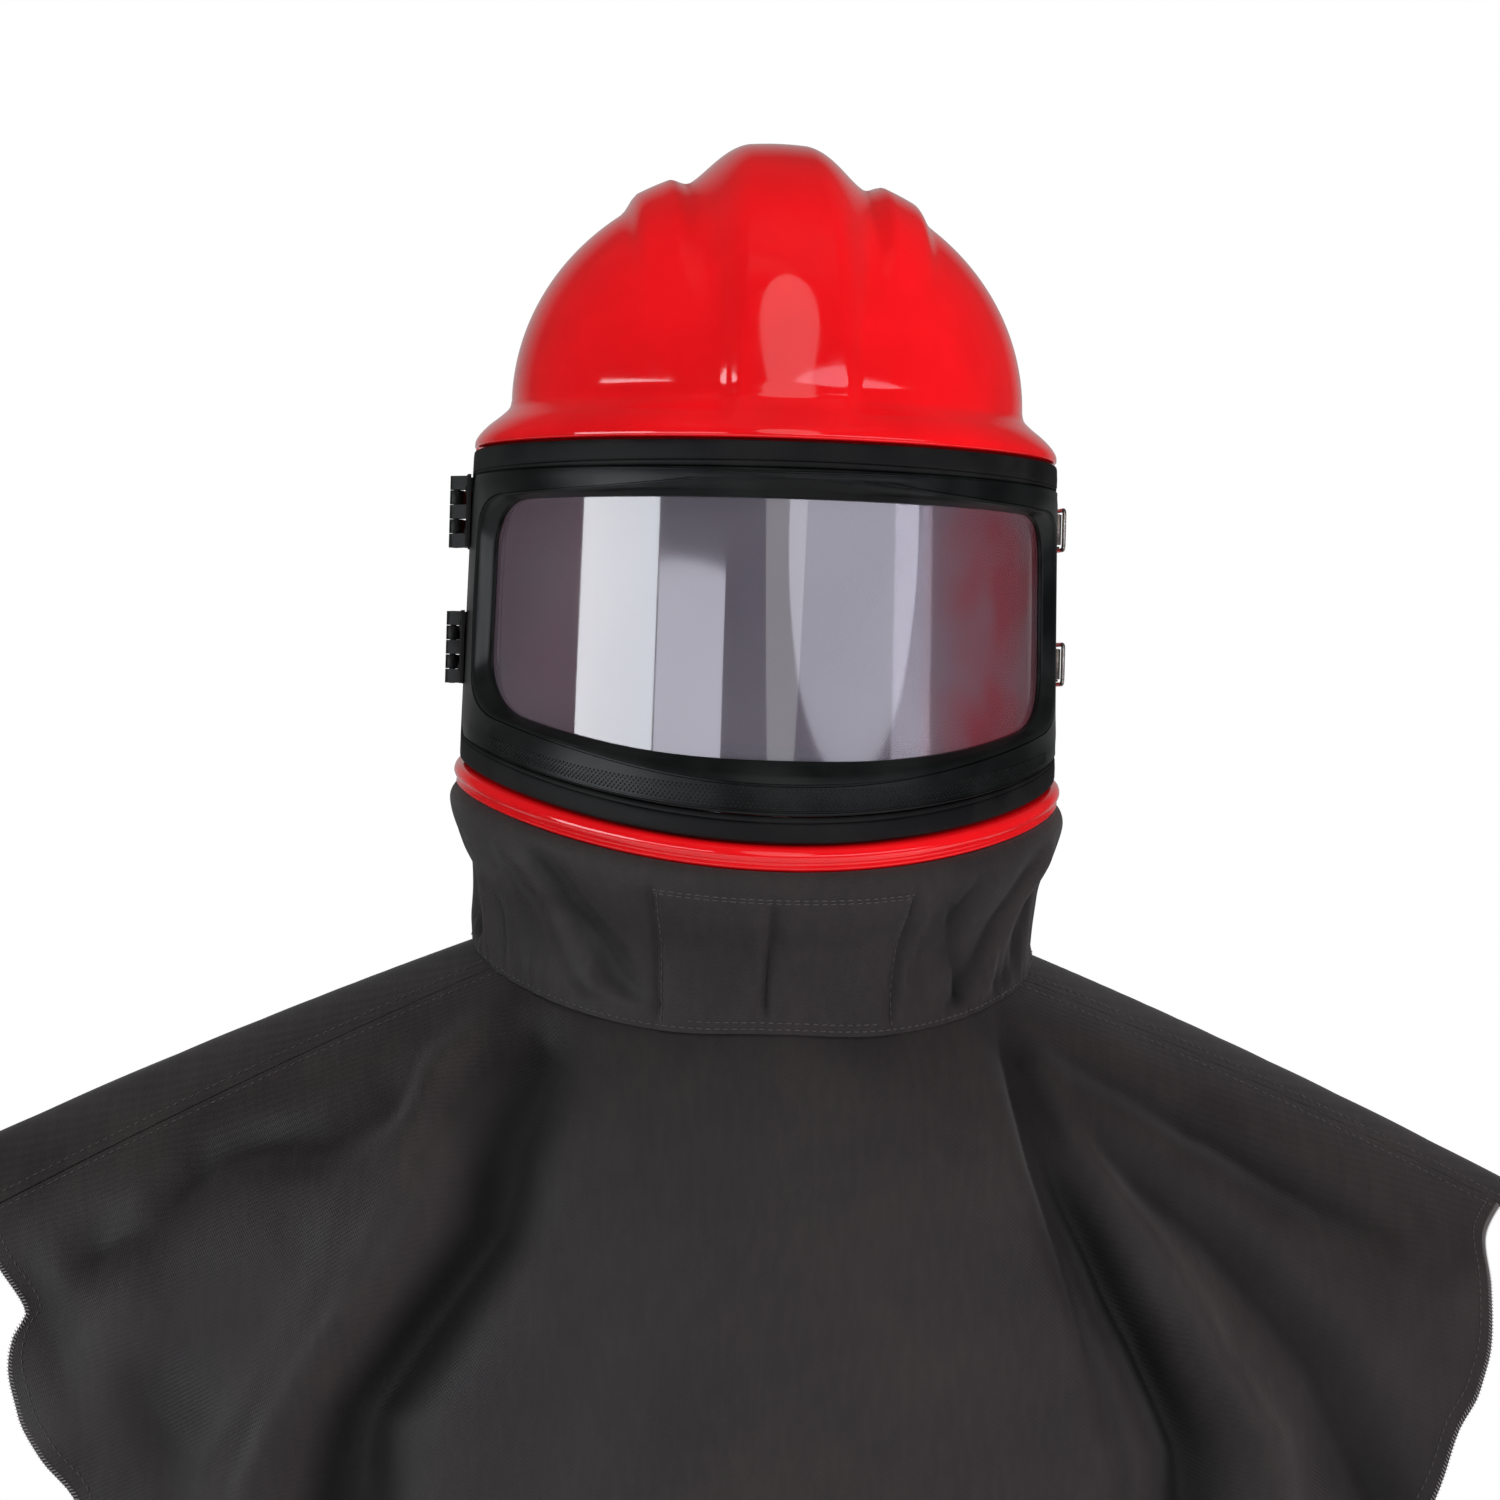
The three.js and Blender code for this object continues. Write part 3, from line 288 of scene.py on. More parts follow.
def dome_point(tilt, theta, inset):
    depth = np.where(np.cos(theta) >= 0, DOME_FRONT, DOME_BACK)
    ray = np.stack(np.broadcast_arrays(
        np.sin(tilt) * np.sin(theta), -np.sin(tilt) * np.cos(theta), np.cos(tilt)), axis=-1)
    radii = np.stack(np.broadcast_arrays(DOME_HALF_WIDTH, depth, DOME_RISE), axis=-1)
    radii = np.broadcast_to(radii, ray.shape)
    point = ray * radii
    normal = ray / radii
    normal = normal / np.linalg.norm(normal, axis=-1, keepdims=True)
    height = rib_height(point[..., 0], ray[..., 2]) - inset
    point = point + normal * height[..., None]
    point[..., 2] += DOME_BASE
    return point


# Shoulder profile: share of its height below the dome, share of the way out to the wall
SHOULDER_DROPS = (0, 0.185, 0.356, 0.551, 0.746, 0.893, 1)
SHOULDER_REACHES = (0, 0.07, 0.3, 0.625, 0.875, 0.99, 1)

# Rim profile in millimetres: drop below the rim's level, distance out from the wall's plan
RIM_DROPS = (0.6, 0.9, 1.3, 2.2, 3.4, 4.6, 5.8, 6.6, 7.2, 7.7, 8.2, 8.8, 9.4, 9.9, 10.2)
RIM_OUTS = (-0.5, 0.5, 1.2, 2.0, 2.4, 2.4, 1.9, 1.3, 0.8, 0.6, 0.9, 1.3, 1.1, 0.4, -2.4)


def shoulder_point(theta, drop, reach, out):
    plan = mixed_plan((DOME_HALF_WIDTH, DOME_FRONT, DOME_BACK), wall_plan(FLANGE_LEVEL), reach)
    ribs = rib_height(plan[0] * np.sin(theta), 0) * (1 - smoothstep(drop, 0, 0.75))
    return plan_point(plan, theta, DOME_BASE - SHOULDER_HEIGHT * drop, out + ribs)


def in_scene(name, data):
    """A new object in the scene with the given mesh, light or camera."""
    made = bpy.data.objects.new(name, data)
    bpy.context.scene.collection.objects.link(made)
    return made


def carried(piece, body, node, slot):
    """Lets the piece ride on a body and stand for a node of the frame; the slot is not used."""
    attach(piece, body)
    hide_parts(node)


# Meshes from grids of points
def grid_quads(rows, columns, wrap_rows=False, wrap_columns=False):
    r = np.arange(rows if wrap_rows else rows - 1)[:, None]
    c = np.arange(columns if wrap_columns else columns - 1)[None, :]
    below, beside = (r + 1) % rows, (c + 1) % columns
    corners = [r * columns + c, r * columns + beside, below * columns + beside, below * columns + c]
    return np.stack(corners, axis=-1).reshape(-1, 4)


def facing_out(points, faces):
    """The faces, all turned round if the closed mesh they make is inside out."""
    fans = [(face[0], face[i], face[i + 1]) for face in faces for i in range(1, len(face) - 1)]
    a, b, c = (points[list(corner)] for corner in zip(*fans))
    return faces if np.sum(a * np.cross(b, c)) > 0 else [face[::-1] for face in faces]


def new_piece(name, points, faces, material, sharp=40, uv=None, relief=None):
    """A closed mesh object from points in millimetres, with smooth faces and edges kept sharp. Cloth
    also gets a UV map in real size and how far each point lies in a fold or on a ridge, -1 to 1."""
    points = np.asarray(points, float).reshape(-1, 3)
    faces = facing_out(points, [list(map(int, face)) for face in faces])
    mesh = bpy.data.meshes.new(name)
    mesh.from_pydata((points * MM).tolist(), [], faces)
    mesh.validate()
    mesh.update()
    mesh.polygons.foreach_set("use_smooth", [True] * len(mesh.polygons))
    mesh.set_sharp_from_angle(angle=math.radians(sharp))
    if uv is not None:
        layer = mesh.uv_layers.new(name="Cloth")
        loops = np.empty(len(mesh.loops), int)
        mesh.loops.foreach_get("vertex_index", loops)
        layer.data.foreach_set("uv", (np.asarray(uv).reshape(-1, 2)[loops] * MM).ravel())
    # The relief is the fold height; the cloth material paints shade from it, darker in the folds
    if relief is not None:
        layer = mesh.attributes.new("relief", "FLOAT", "POINT")
        layer.data.foreach_set("value", np.clip(relief, -1, 1).astype(np.float32).ravel())
    mesh.materials.append(material)
    return in_scene(name, mesh)


def baked(piece, name=None):
    """The piece with its modifiers turned into plain mesh."""
    graph = bpy.context.evaluated_depsgraph_get()
    mesh = bpy.data.meshes.new_from_object(piece.evaluated_get(graph), depsgraph=graph)
    mesh.name = name or piece.name
    piece.modifiers.clear()
    piece.data = mesh
    return piece


def add_node(tree, kind, inputs=None, **settings):
    """Adds a node, sets it, and gives each named or numbered input a link from a socket or a value."""
    node = tree.nodes.new(kind)
    for key, value in settings.items():
        setattr(node, key, value)
    for name, value in (inputs or {}).items():
        if isinstance(value, bpy.types.NodeSocket):
            tree.links.new(value, node.inputs[name])
        else:
            node.inputs[name].default_value = value
    return node


def calculated(tree, operation, *values, clamp=False):
    """One sum, product or other operation on sockets and values."""
    return add_node(tree, "ShaderNodeMath", dict(enumerate(values)), operation=operation,
                    use_clamp=clamp).outputs[0]


def new_material(name):
    """An empty material, its node tree and its Object coordinates."""
    material = bpy.data.materials.new(name)
    material.use_nodes = True
    tree = material.node_tree
    tree.nodes.clear()
    return material, tree, add_node(tree, "ShaderNodeTexCoord").outputs["Object"]


def surfaced(material, inputs):
    """The material with one principled shader that has these links and uniform values."""
    shader = add_node(material.node_tree, "ShaderNodeBsdfPrincipled", inputs)
    add_node(material.node_tree, "ShaderNodeOutputMaterial", {"Surface": shader.outputs[0]})
    return material


def noise(tree, place, size_mm, detail=3.0, stretch=(1, 1, 1)):
    """Noise whose lumps are about size_mm across, stretched along an axis by a smaller scale there."""
    mapping = add_node(tree, "ShaderNodeMapping", {"Vector": place, "Scale": stretch})
    inputs = {"Vector": mapping.outputs[0], "Scale": 1 / (size_mm * MM), "Detail": detail}
    return add_node(tree, "ShaderNodeTexNoise", inputs).outputs["Fac"]


def spread_value(tree, value, low, high, start=0.0, end=1.0):
    """The value's run from start to end, spread from low to high and held there past its ends."""
    inputs = {"Value": value, "From Min": start, "From Max": end, "To Min": low, "To Max": high}
    return add_node(tree, "ShaderNodeMapRange", inputs).outputs[0]


def tinted(tree, value, first, second):
    """A colour between two, each a linear colour or a socket, by a value from 0 to 1."""
    return add_node(tree, "ShaderNodeMix", {0: value, 6: first, 7: second}, data_type="RGBA").outputs[2]


def bumped(tree, height, depth_mm, strength, below=None):
    """A normal for the shader with relief of a depth, over another relief if there is one below."""
    inputs = {"Height": height, "Distance": depth_mm * MM, "Strength": strength}
    if below is not None:
        inputs["Normal"] = below
    return add_node(tree, "ShaderNodeBump", inputs).outputs[0]


def red_moulding(colour, shade):
    """Glass-filled polyamide, injection moulded and lacquered: a deep gloss with a faint orange peel."""
    material, tree, place = new_material("Red gloss polyamide moulding")
    # Broad drift of the pigment over some 60 mm, and handling marks in the lacquer of about 9 mm
    drift = spread_value(tree, noise(tree, place, 60), 0, 1, 0.35, 0.65)
    marks = spread_value(tree, noise(tree, place, 9, 5), 0.06, 0.12, 0.35, 0.7)
    scuffs = spread_value(tree, noise(tree, place, 14, 6, (1, 1, 6)), 0, 0.07, 0.62, 0.74)
    return surfaced(material, {
        "Base Color": tinted(tree, drift, colour, shade),
        "Roughness": calculated(tree, "ADD", marks, scuffs),
        "IOR": 1.53, "Coat Weight": 0.25, "Coat Roughness": 0.05,
        # Orange peel of sprayed lacquer is 2 to 4 mm across and some 10 micrometres deep
        "Normal": bumped(tree, noise(tree, place, 3, 2), 0.02, 0.5),
    })


def black_moulding(colour, shade, name="Black satin nylon moulding", grain_mm=0.9, rough=(0.3, 0.44)):
    """Nylon with carbon black, moulded with a fine spark-eroded grain: satin, a little grey on edges."""
    material, tree, place = new_material(name)
    cloud = noise(tree, place, 30, 5)
    edge = add_node(tree, "ShaderNodeNewGeometry").outputs["Pointiness"]
    worn = calculated(tree, "ADD", spread_value(tree, cloud, 0, 0.7, 0.4, 0.7),
                      spread_value(tree, edge, 0, 0.5, 0.52, 0.6), clamp=True)
    return surfaced(material, {
        "Base Color": tinted(tree, worn, colour, shade),
        "Roughness": spread_value(tree, cloud, *rough, 0.3, 0.7),
        "IOR": 1.5, "Specular IOR Level": 0.2,
        "Normal": bumped(tree, noise(tree, place, grain_mm, 2), 0.05, 0.6),
    })


def clear_visor(tint, haze, painted_shell_red):
    """Polycarbonate sheet, bent to shape: clear with a smoky tint, haze and fine wiping scratches, with
    painted light at its ends: the red shell behind it painted into its colour.
    """
    material, tree, place = new_material("Smoky polycarbonate visor")
    smear = noise(tree, place, 90, 2)
    # Towards its ends the sheet is seen at a slant, and the red shell that would show through behind it is
    # painted
    #  into its colour as painted light, more of it towards +X, the side that faces the light
    across = add_node(tree, "ShaderNodeSeparateXYZ", {0: place}).outputs[0]
    blotches = spread_value(tree, noise(tree, place, 34, 1), 0.6, 1, 0.35, 0.6)
    share = calculated(tree, "MULTIPLY", blotches, spread_value(tree, across, 0.25, 1, -60 * MM, 60 * MM))
    ends = spread_value(tree, calculated(tree, "ABSOLUTE", across), 0, 1, 55 * MM, 80 * MM)
    smoky = tinted(tree, spread_value(tree, smear, 0, 1, 0.3, 0.7), tint, haze)
    # Wiping scratches run up and down: hairlines some 0.3 mm wide, drawn 0.8 mm wide so that they show
    hair = spread_value(tree, noise(tree, place, 0.8, 1, (1, 1, 0.02)), 0, 0.03, 0.62, 0.75)
    return surfaced(material, {
        # Painted light: the red shell seen through, painted in towards the ends
        "Base Color": tinted(tree, calculated(tree, "MULTIPLY", ends, share), smoky, painted_shell_red),
        "Roughness": calculated(tree, "ADD", spread_value(tree, smear, 0.03, 0.08, 0.3, 0.7), hair),
        "IOR": 1.58, "Transmission Weight": 0.62,
        # The hard coat on both faces
        "Coat Weight": 1.0, "Coat Roughness": 0.04,
        # Bent sheet is never quite even: waves of about 70 mm
        "Normal": bumped(tree, noise(tree, place, 70, 1), 0.4, 0.35),
    })


def coated_steel(colour, shade):
    """Steel with black powder coat: satin with a fine orange peel, greyer where its edges are rubbed."""
    material, tree, place = new_material("Black powder-coated steel")
    edge = add_node(tree, "ShaderNodeNewGeometry").outputs["Pointiness"]
    chips = spread_value(tree, noise(tree, place, 2.5, 4), -0.5, 0.4, 0.35, 0.65)
    rubbed = calculated(tree, "ADD", spread_value(tree, edge, 0, 1.2, 0.52, 0.6), chips, clamp=True)
    return surfaced(material, {
        "Base Color": tinted(tree, rubbed, colour, shade),
        "Roughness": spread_value(tree, rubbed, 0.34, 0.48),
        "IOR": 1.52, "Specular IOR Level": 0.15,
        # Orange peel of a powder coat is about 1.2 mm across
        "Normal": bumped(tree, noise(tree, place, 1.2, 1), 0.04, 0.6),
    })


def zinc_plate(name, colour, shade):
    """Zinc-plated steel after some use: warm grey, cloudy in blooms of about 4 mm, softly drawn."""
    material, tree, place = new_material(name)
    cloud = spread_value(tree, noise(tree, place, 4, 5), 0, 1, 0.35, 0.65)
    # Rolling lines 0.3 mm wide run along the strip
    grain = noise(tree, place, 0.3, 2, (1, 0.1, 1))
    return surfaced(material, {
        "Base Color": tinted(tree, cloud, colour, shade),
        "Roughness": spread_value(tree, grain, 0.26, 0.42, 0.3, 0.7),
        "Metallic": 0.92,
        "Normal": bumped(tree, grain, 0.01, 0.4),
    })


def woven_cloth(name, colour, shade, deep, thread_mm):
    """Polyurethane-coated polyester, plain woven: dark, a soft satin along folds, fine thread grain. Shade
    is painted into the folds: deep in a fold it is darkened nearly to black, and a ridge keeps the plain
    cloth colour."""
    material, tree, place = new_material(name)
    uv = add_node(tree, "ShaderNodeUVMap", uv_map="Cloth").outputs[0]
    # Yarns are 0.4 mm apart on the real cloth, and are drawn thread_mm apart so that they show
    parts = add_node(tree, "ShaderNodeSeparateXYZ", {0: uv}).outputs
    turns = 2 * math.pi / (thread_mm * MM)
    waves = [calculated(tree, "SINE", calculated(tree, "MULTIPLY", parts[axis], turns)) for axis in (0, 1)]
    weave = calculated(tree, "MULTIPLY", *waves)
    cloud = noise(tree, place, 45, 5)
    slub = spread_value(tree, noise(tree, uv, 3, 3, (1, 0.2, 1)), 0, 0.22, 0.4, 0.7)
    mixed = calculated(tree, "ADD", spread_value(tree, cloud, 0, 0.4, 0.35, 0.7), slub, clamp=True)
    grain = spread_value(tree, weave, -0.18, 0.18, -1, 1)
    face = tinted(tree, calculated(tree, "ADD", mixed, grain, clamp=True), colour, shade)
    # The fold height of the mesh, from which shade is painted into the folds
    relief = add_node(tree, "ShaderNodeAttribute", attribute_name="relief").outputs["Fac"]
    # Soft hand wrinkles of about 25 mm below the thread relief
    wrinkled = bumped(tree, noise(tree, uv, 25, 4), 1.2, 0.25)
    return surfaced(material, {
        # Painted shade: darker, down to the deep colour, where the cloth lies in a fold
        "Base Color": tinted(tree, spread_value(tree, relief, 0, 1, -0.85, 0.1), deep, face),
        "Roughness": spread_value(tree, cloud, 0.5, 0.68, 0.3, 0.7),
        "IOR": 1.5, "Specular IOR Level": 0.3, "Sheen Weight": 0.12, "Sheen Roughness": 0.4,
        "Normal": bumped(tree, weave, 0.12, 0.5, wrinkled),
    })


def sewing_thread(name, colour, shade):
    """Spun polyester thread, twisted: matte with a soft sheen and a little shade along its twist."""
    material, tree, place = new_material(name)
    twist = noise(tree, place, 0.8, 2)
    return surfaced(material, {
        "Base Color": tinted(tree, twist, colour, shade),
        "Roughness": spread_value(tree, twist, 0.6, 0.85),
        "Sheen Weight": 0.2,
    })


def studio_floor(colour):
    """Matte painted board: pale, with the faintest drift in its tone."""
    material, tree, place = new_material("Pale matte floor paint")
    return surfaced(material, {
        "Base Color": tinted(tree, noise(tree, place, 400, 2), linear("#F6F5F3"), colour),
        "Roughness": 0.8,
    })


def row_tree(name, turn_by_path):
    """Geometry Nodes that set one small rounded bead after another along a path or on loose points.
    A bead lies along the path, or along the point's own direction, with its flat side on the surface."""
    tree = bpy.data.node_groups.new(name, "GeometryNodeTree")
    kinds = {"Geometry": "Geometry", "Spacing": "Float", "Length": "Float", "Width": "Float",
             "Height": "Float", "Turn": "Float", "Segments": "Int", "Rings": "Int", "Material": "Material"}
    for socket, kind in kinds.items():
        tree.interface.new_socket(socket, in_out="INPUT", socket_type=f"NodeSocket{kind}")
    tree.interface.new_socket("Geometry", in_out="OUTPUT", socket_type="NodeSocketGeometry")
    given = add_node(tree, "NodeGroupInput").outputs

    def named(label):
        return add_node(tree, "GeometryNodeInputNamedAttribute", {"Name": label},
                        data_type="FLOAT_VECTOR").outputs[0]

    if turn_by_path:
        path = add_node(tree, "GeometryNodeMeshToCurve", {"Mesh": given["Geometry"]})
        points = add_node(tree, "GeometryNodeResampleCurve",
                          {"Curve": path.outputs[0], "Length": given["Spacing"]}, mode="LENGTH").outputs[0]
        along = add_node(tree, "GeometryNodeInputTangent").outputs[0]
    else:
        points = add_node(tree, "GeometryNodeMeshToPoints", {"Mesh": given["Geometry"]}).outputs[0]
        along = named("along")
    flat = add_node(tree, "FunctionNodeAlignRotationToVector", {"Vector": named("lift")}, axis="Z")
    laid = add_node(tree, "FunctionNodeAlignRotationToVector",
                    {"Rotation": flat.outputs[0], "Vector": along}, axis="X", pivot_axis="Z")
    turn = add_node(tree, "ShaderNodeCombineXYZ", {"Z": given["Turn"]})
    spun = add_node(tree, "FunctionNodeRotateRotation", {0: laid.outputs[0], 1: turn.outputs[0]},
                    rotation_space="LOCAL")
    ball = add_node(tree, "GeometryNodeMeshUVSphere",
                    {"Segments": given["Segments"], "Rings": given["Rings"], "Radius": 0.5})
    size = add_node(tree, "ShaderNodeCombineXYZ",
                    {"X": given["Length"], "Y": given["Width"], "Z": given["Height"]})
    shaped = add_node(tree, "GeometryNodeTransform",
                      {"Geometry": ball.outputs[0], "Scale": size.outputs[0]})
    beads = add_node(tree, "GeometryNodeInstanceOnPoints",
                     {"Points": points, "Instance": shaped.outputs[0], "Rotation": spun.outputs[0]})
    real = add_node(tree, "GeometryNodeRealizeInstances", {"Geometry": beads.outputs[0]})
    soft = add_node(tree, "GeometryNodeSetShadeSmooth", {"Geometry": real.outputs[0]})
    dressed = add_node(tree, "GeometryNodeSetMaterial",
                       {"Geometry": soft.outputs[0], "Material": given["Material"]})
    add_node(tree, "NodeGroupOutput", {"Geometry": dressed.outputs[0]})
    return tree


def bead_row(name, points, lifts, material, size_mm, spacing_mm=None, turn=0.0, faces=(6, 4), alongs=None,
             breaks=()):
    """Beads along a path, or one on each point where spacing_mm is left out. The points are in
    millimetres, breaks are the indices after which the path stops and starts again."""
    points = np.asarray(points, float).reshape(-1, 3)
    edges = [] if spacing_mm is None else [(i, i + 1) for i in range(len(points) - 1) if i not in breaks]
    mesh = bpy.data.meshes.new(name)
    mesh.from_pydata((points * MM).tolist(), edges, [])
    vectors = [("lift", lifts)] + ([] if alongs is None else [("along", alongs)])
    for label, rows in vectors:
        layer = mesh.attributes.new(label, "FLOAT_VECTOR", "POINT")
        layer.data.foreach_set("vector", np.asarray(rows, np.float32).ravel())
    piece = in_scene(name, mesh)
    modifier = piece.modifiers.new("Beads", "NODES")
    modifier.node_group = row_tree(name, spacing_mm is not None)
    keys = {item.name: item.identifier for item in modifier.node_group.interface.items_tree
            if item.in_out == "INPUT"}
    length, width, height = size_mm
    values = {"Spacing": (spacing_mm or 1) * MM, "Length": length * MM, "Width": width * MM,
              "Height": height * MM, "Turn": turn, "Segments": faces[0], "Rings": faces[1],
              "Material": material}
    for label, value in values.items():
        modifier[keys[label]] = value
    return baked(piece)


# Window outlines: half angle, top and bottom levels, and the size of the elliptic corners
def along_wall(length):
    return length / WALL_HALF_WIDTH


def seal_top(theta):
    return RECESS_TOP - DOOR_GAP + 0 * theta


def seal_bottom(theta):
    return rim_level(theta) + DOOR_GAP


FRAME_HALF_ANGLE = SEAL_HALF_ANGLE - along_wall(SEAL_WIDTH)
OPENING_TOP = RECESS_TOP - DOOR_GAP - SEAL_WIDTH - FRAME_TOP_BAR
OPENING_LOW = float(seal_bottom(0.0)) + SEAL_WIDTH + FRAME_BOTTOM_BAR


def opening_bottom(theta):
    return OPENING_LOW + OPENING_SIDE_RISE * np.abs(np.sin(theta)) ** 2.6


def outline_loop(half, top, bottom, top_corner, bottom_corner):
    """Angles and levels round an outline, the same number of steps on every outline."""
    turns = np.linspace(0, 1, 15)[1:-1] * math.pi / 2

    def corner(side, low, order):
        wide, tall = bottom_corner if low else top_corner
        theta = side * (half - along_wall(wide) * (1 - np.sin(order)))
        inset = tall * (1 - np.cos(order))
        return np.stack([theta, bottom(theta) + inset if low else top(theta) - inset], axis=-1)

    def edge(side, low):
        wide = (bottom_corner if low else top_corner)[0]
        reach = half - along_wall(wide)
        theta = np.linspace(side * reach, -side * reach, 150)
        return np.stack([theta, (bottom if low else top)(theta)], axis=-1)

    def upright(side):
        high = float(top(np.float64(half))) - top_corner[1]
        low = float(bottom(np.float64(half))) + bottom_corner[1]
        z = np.linspace(high, low, 40) if side > 0 else np.linspace(low, high, 40)
        return np.stack([np.full(40, side * half), z], axis=-1)

    return np.concatenate([
        edge(-1, False), corner(1, False, turns), upright(1), corner(1, True, turns[::-1]),
        edge(1, True), corner(-1, True, turns), upright(-1), corner(-1, False, turns[::-1])])


def bar_rings(inner, outer, ledge, section):
    """Rings of a bar between outlines. A section row gives where it is measured from, the reach along
    the wall in millimetres or as a share, and how far out it lies."""
    near = wall_point(inner[:, 0], inner[:, 1], 0)
    width = np.linalg.norm(near - wall_point(outer[:, 0], outer[:, 1], 0), axis=1)
    rings = []
    for origin, reach, out in section:
        if origin == "ledge":
            rings.append(wall_point(ledge[:, 0], ledge[:, 1], out))
            continue
        # The groove sits in the wide lower bar and closes up where the bar is narrow
        open_there = smoothstep(width, 14, 18)
        groove = np.minimum(reach / width, 0.6 + 0.01 * (reach - GROOVE_REACH))
        share = {"inner": reach / width, "across": reach + 0 * width, "outer": 1 - reach / width,
                 "groove": groove}[origin]
        theta, z = (lerp(inner[:, i], outer[:, i], share) for i in (0, 1))
        depth = lerp(0.5, out, open_there) if origin == "groove" else out
        rings.append(wall_point(theta, z, depth))
    return np.array(rings)


def outlines():
    """The outlines of the rubber strip, the ring, its opening and the ledge that the visor rests on."""
    corners = OPENING_TOP_CORNER, OPENING_LOW_CORNER
    return {
        "seal": outline_loop(SEAL_HALF_ANGLE, seal_top, seal_bottom, SEAL_CORNER, SEAL_CORNER),
        "frame": outline_loop(FRAME_HALF_ANGLE, lambda t: seal_top(t) - SEAL_WIDTH,
                              lambda t: seal_bottom(t) + SEAL_WIDTH, FRAME_CORNER, FRAME_CORNER),
        "opening": outline_loop(OPENING_HALF_ANGLE, lambda t: OPENING_TOP + 0 * t, opening_bottom,
                                *corners),
        "ledge": outline_loop(OPENING_HALF_ANGLE + along_wall(REBATE_WIDTH),
                              lambda t: OPENING_TOP + REBATE_WIDTH + 0 * t,
                              lambda t: opening_bottom(t) - REBATE_WIDTH, *corners),
    }


DOOR_BACK = -(RECESS_DEPTH - DOOR_BACK_GAP)

# Section of the rubber strip: a soft crown with a fine groove near each edge
SEAL_SECTION = (
    ("inner", 0.3, -1.4), ("inner", 0.5, -0.7), ("inner", 1.1, -0.2), ("inner", 1.9, 0.1),
    ("inner", 2.6, 0.0), ("inner", 2.9, -0.5), ("inner", 3.2, 0.0), ("inner", 4, 0.3),
    ("across", 0.5, 0.4), ("outer", 3.4, 0.3), ("outer", 2.6, 0.2), ("outer", 1.4, 0.1),
    ("outer", 0.6, -0.3), ("outer", 0.15, -0.8), ("outer", 0, -1.4), ("outer", 0, DOOR_BACK),
    ("inner", 0.3, DOOR_BACK),
)

# Section of the rigid ring: the bevel round the opening, a groove above the ribbed band, the flat
FRAME_SECTION = (
    ("inner", 0.2, -5.6), ("inner", 0, -5.2), ("inner", 0.2, -4.8), ("inner", 1, -4.2),
    ("inner", 2, -3.4), ("inner", 3.2, -2.3), ("inner", 4.5, -1.2), ("inner", 5.8, -0.4),
    ("inner", 6.8, 0.15), ("groove", GROOVE_REACH, 0.5), ("groove", 9.7, -0.5), ("groove", 10.5, -0.5),
    ("groove", 10.8, 0.5), ("across", 0.68, 0.7), ("outer", 3, 0.55),
    ("outer", 2.2, 0.5), ("outer", 1.9, -0.1), ("outer", 1.4, -0.1), ("outer", 1.1, 0.3),
    ("outer", 0.5, 0.1), ("outer", 0.1, -0.3), ("outer", 0, -0.9), ("outer", 0, DOOR_BACK),
    ("across", 0.78, DOOR_BACK), ("across", 0.52, DOOR_BACK), ("ledge", 0, DOOR_BACK),
    ("ledge", 0, -REBATE_DEPTH), ("inner", 0, -REBATE_DEPTH),
)


def window_plate_points(margin, out_face, out_back, columns=120, rows=40):
    """Two grids of a curved plate inside the opening's outline grown by a margin."""
    end = OPENING_HALF_ANGLE + along_wall(margin)

    def turned(theta, wide, tall):
        start = end - along_wall(wide)
        turn = np.clip((np.abs(theta) - start) / along_wall(wide), 0, 1)
        return tall * (1 - np.sqrt(1 - turn * turn))

    bend = np.sin(np.linspace(-1, 1, columns) * math.pi / 2)
    angles = end * np.sign(bend) * np.abs(bend) ** 0.9
    high = OPENING_TOP + margin - turned(angles, *OPENING_TOP_CORNER)
    low = opening_bottom(angles) - margin + turned(angles, *OPENING_LOW_CORNER)
    z = high[:, None] + (low - high)[:, None] * np.linspace(0, 1, rows)[None, :]
    theta = angles[:, None] + 0 * z
    return wall_point(theta, z, out_face), wall_point(theta, z, out_back)


def sheet_mesh(outer, inner):
    """Points and faces of a sheet with thickness, from two grids of the same shape."""
    rows, columns = outer.shape[:2]
    points = np.concatenate([outer.reshape(-1, 3), inner.reshape(-1, 3)])
    front = grid_quads(rows, columns)
    back = front[:, ::-1] + rows * columns
    border = [c for c in range(columns - 1)]
    border += [r * columns + columns - 1 for r in range(rows - 1)]
    border += [(rows - 1) * columns + c for c in range(columns - 1, 0, -1)]
    border += [r * columns for r in range(rows - 1, 0, -1)]
    border = np.array(border)
    after = np.roll(border, -1)
    shift = rows * columns
    edge = np.stack([after, border, border + shift, after + shift], axis=-1)
    return points, np.concatenate([front, back, edge]).tolist()


def ring_mesh(rings, joined=False, poles=(None, None)):
    """Points and faces of rings joined one to the next, closed by poles at the ends or joined round."""
    rings = np.asarray(rings)
    rows, columns = rings.shape[:2]
    points = rings.reshape(-1, 3)
    faces = grid_quads(rows, columns, joined, True).tolist()
    for end, pole in enumerate(poles):
        if pole is None:
            continue
        start = 0 if end == 0 else (rows - 1) * columns
        points = np.concatenate([points, [pole]])
        tip = len(points) - 1
        for c in range(columns):
            a, b = start + c, start + (c + 1) % columns
            faces.append([tip, b, a] if end == 0 else [tip, a, b])
    return points, faces


# The cape's surface. fall is the height below the shoulder ridge, positive in front, negative behind.
def ridge_level(x):
    past = np.hypot(x, RIDGE_SOFTNESS) - COLLAR_HALF_WIDTH
    return -SHOULDER_DROP - SHOULDER_SLOPE * past - SHOULDER_SAG * past * past


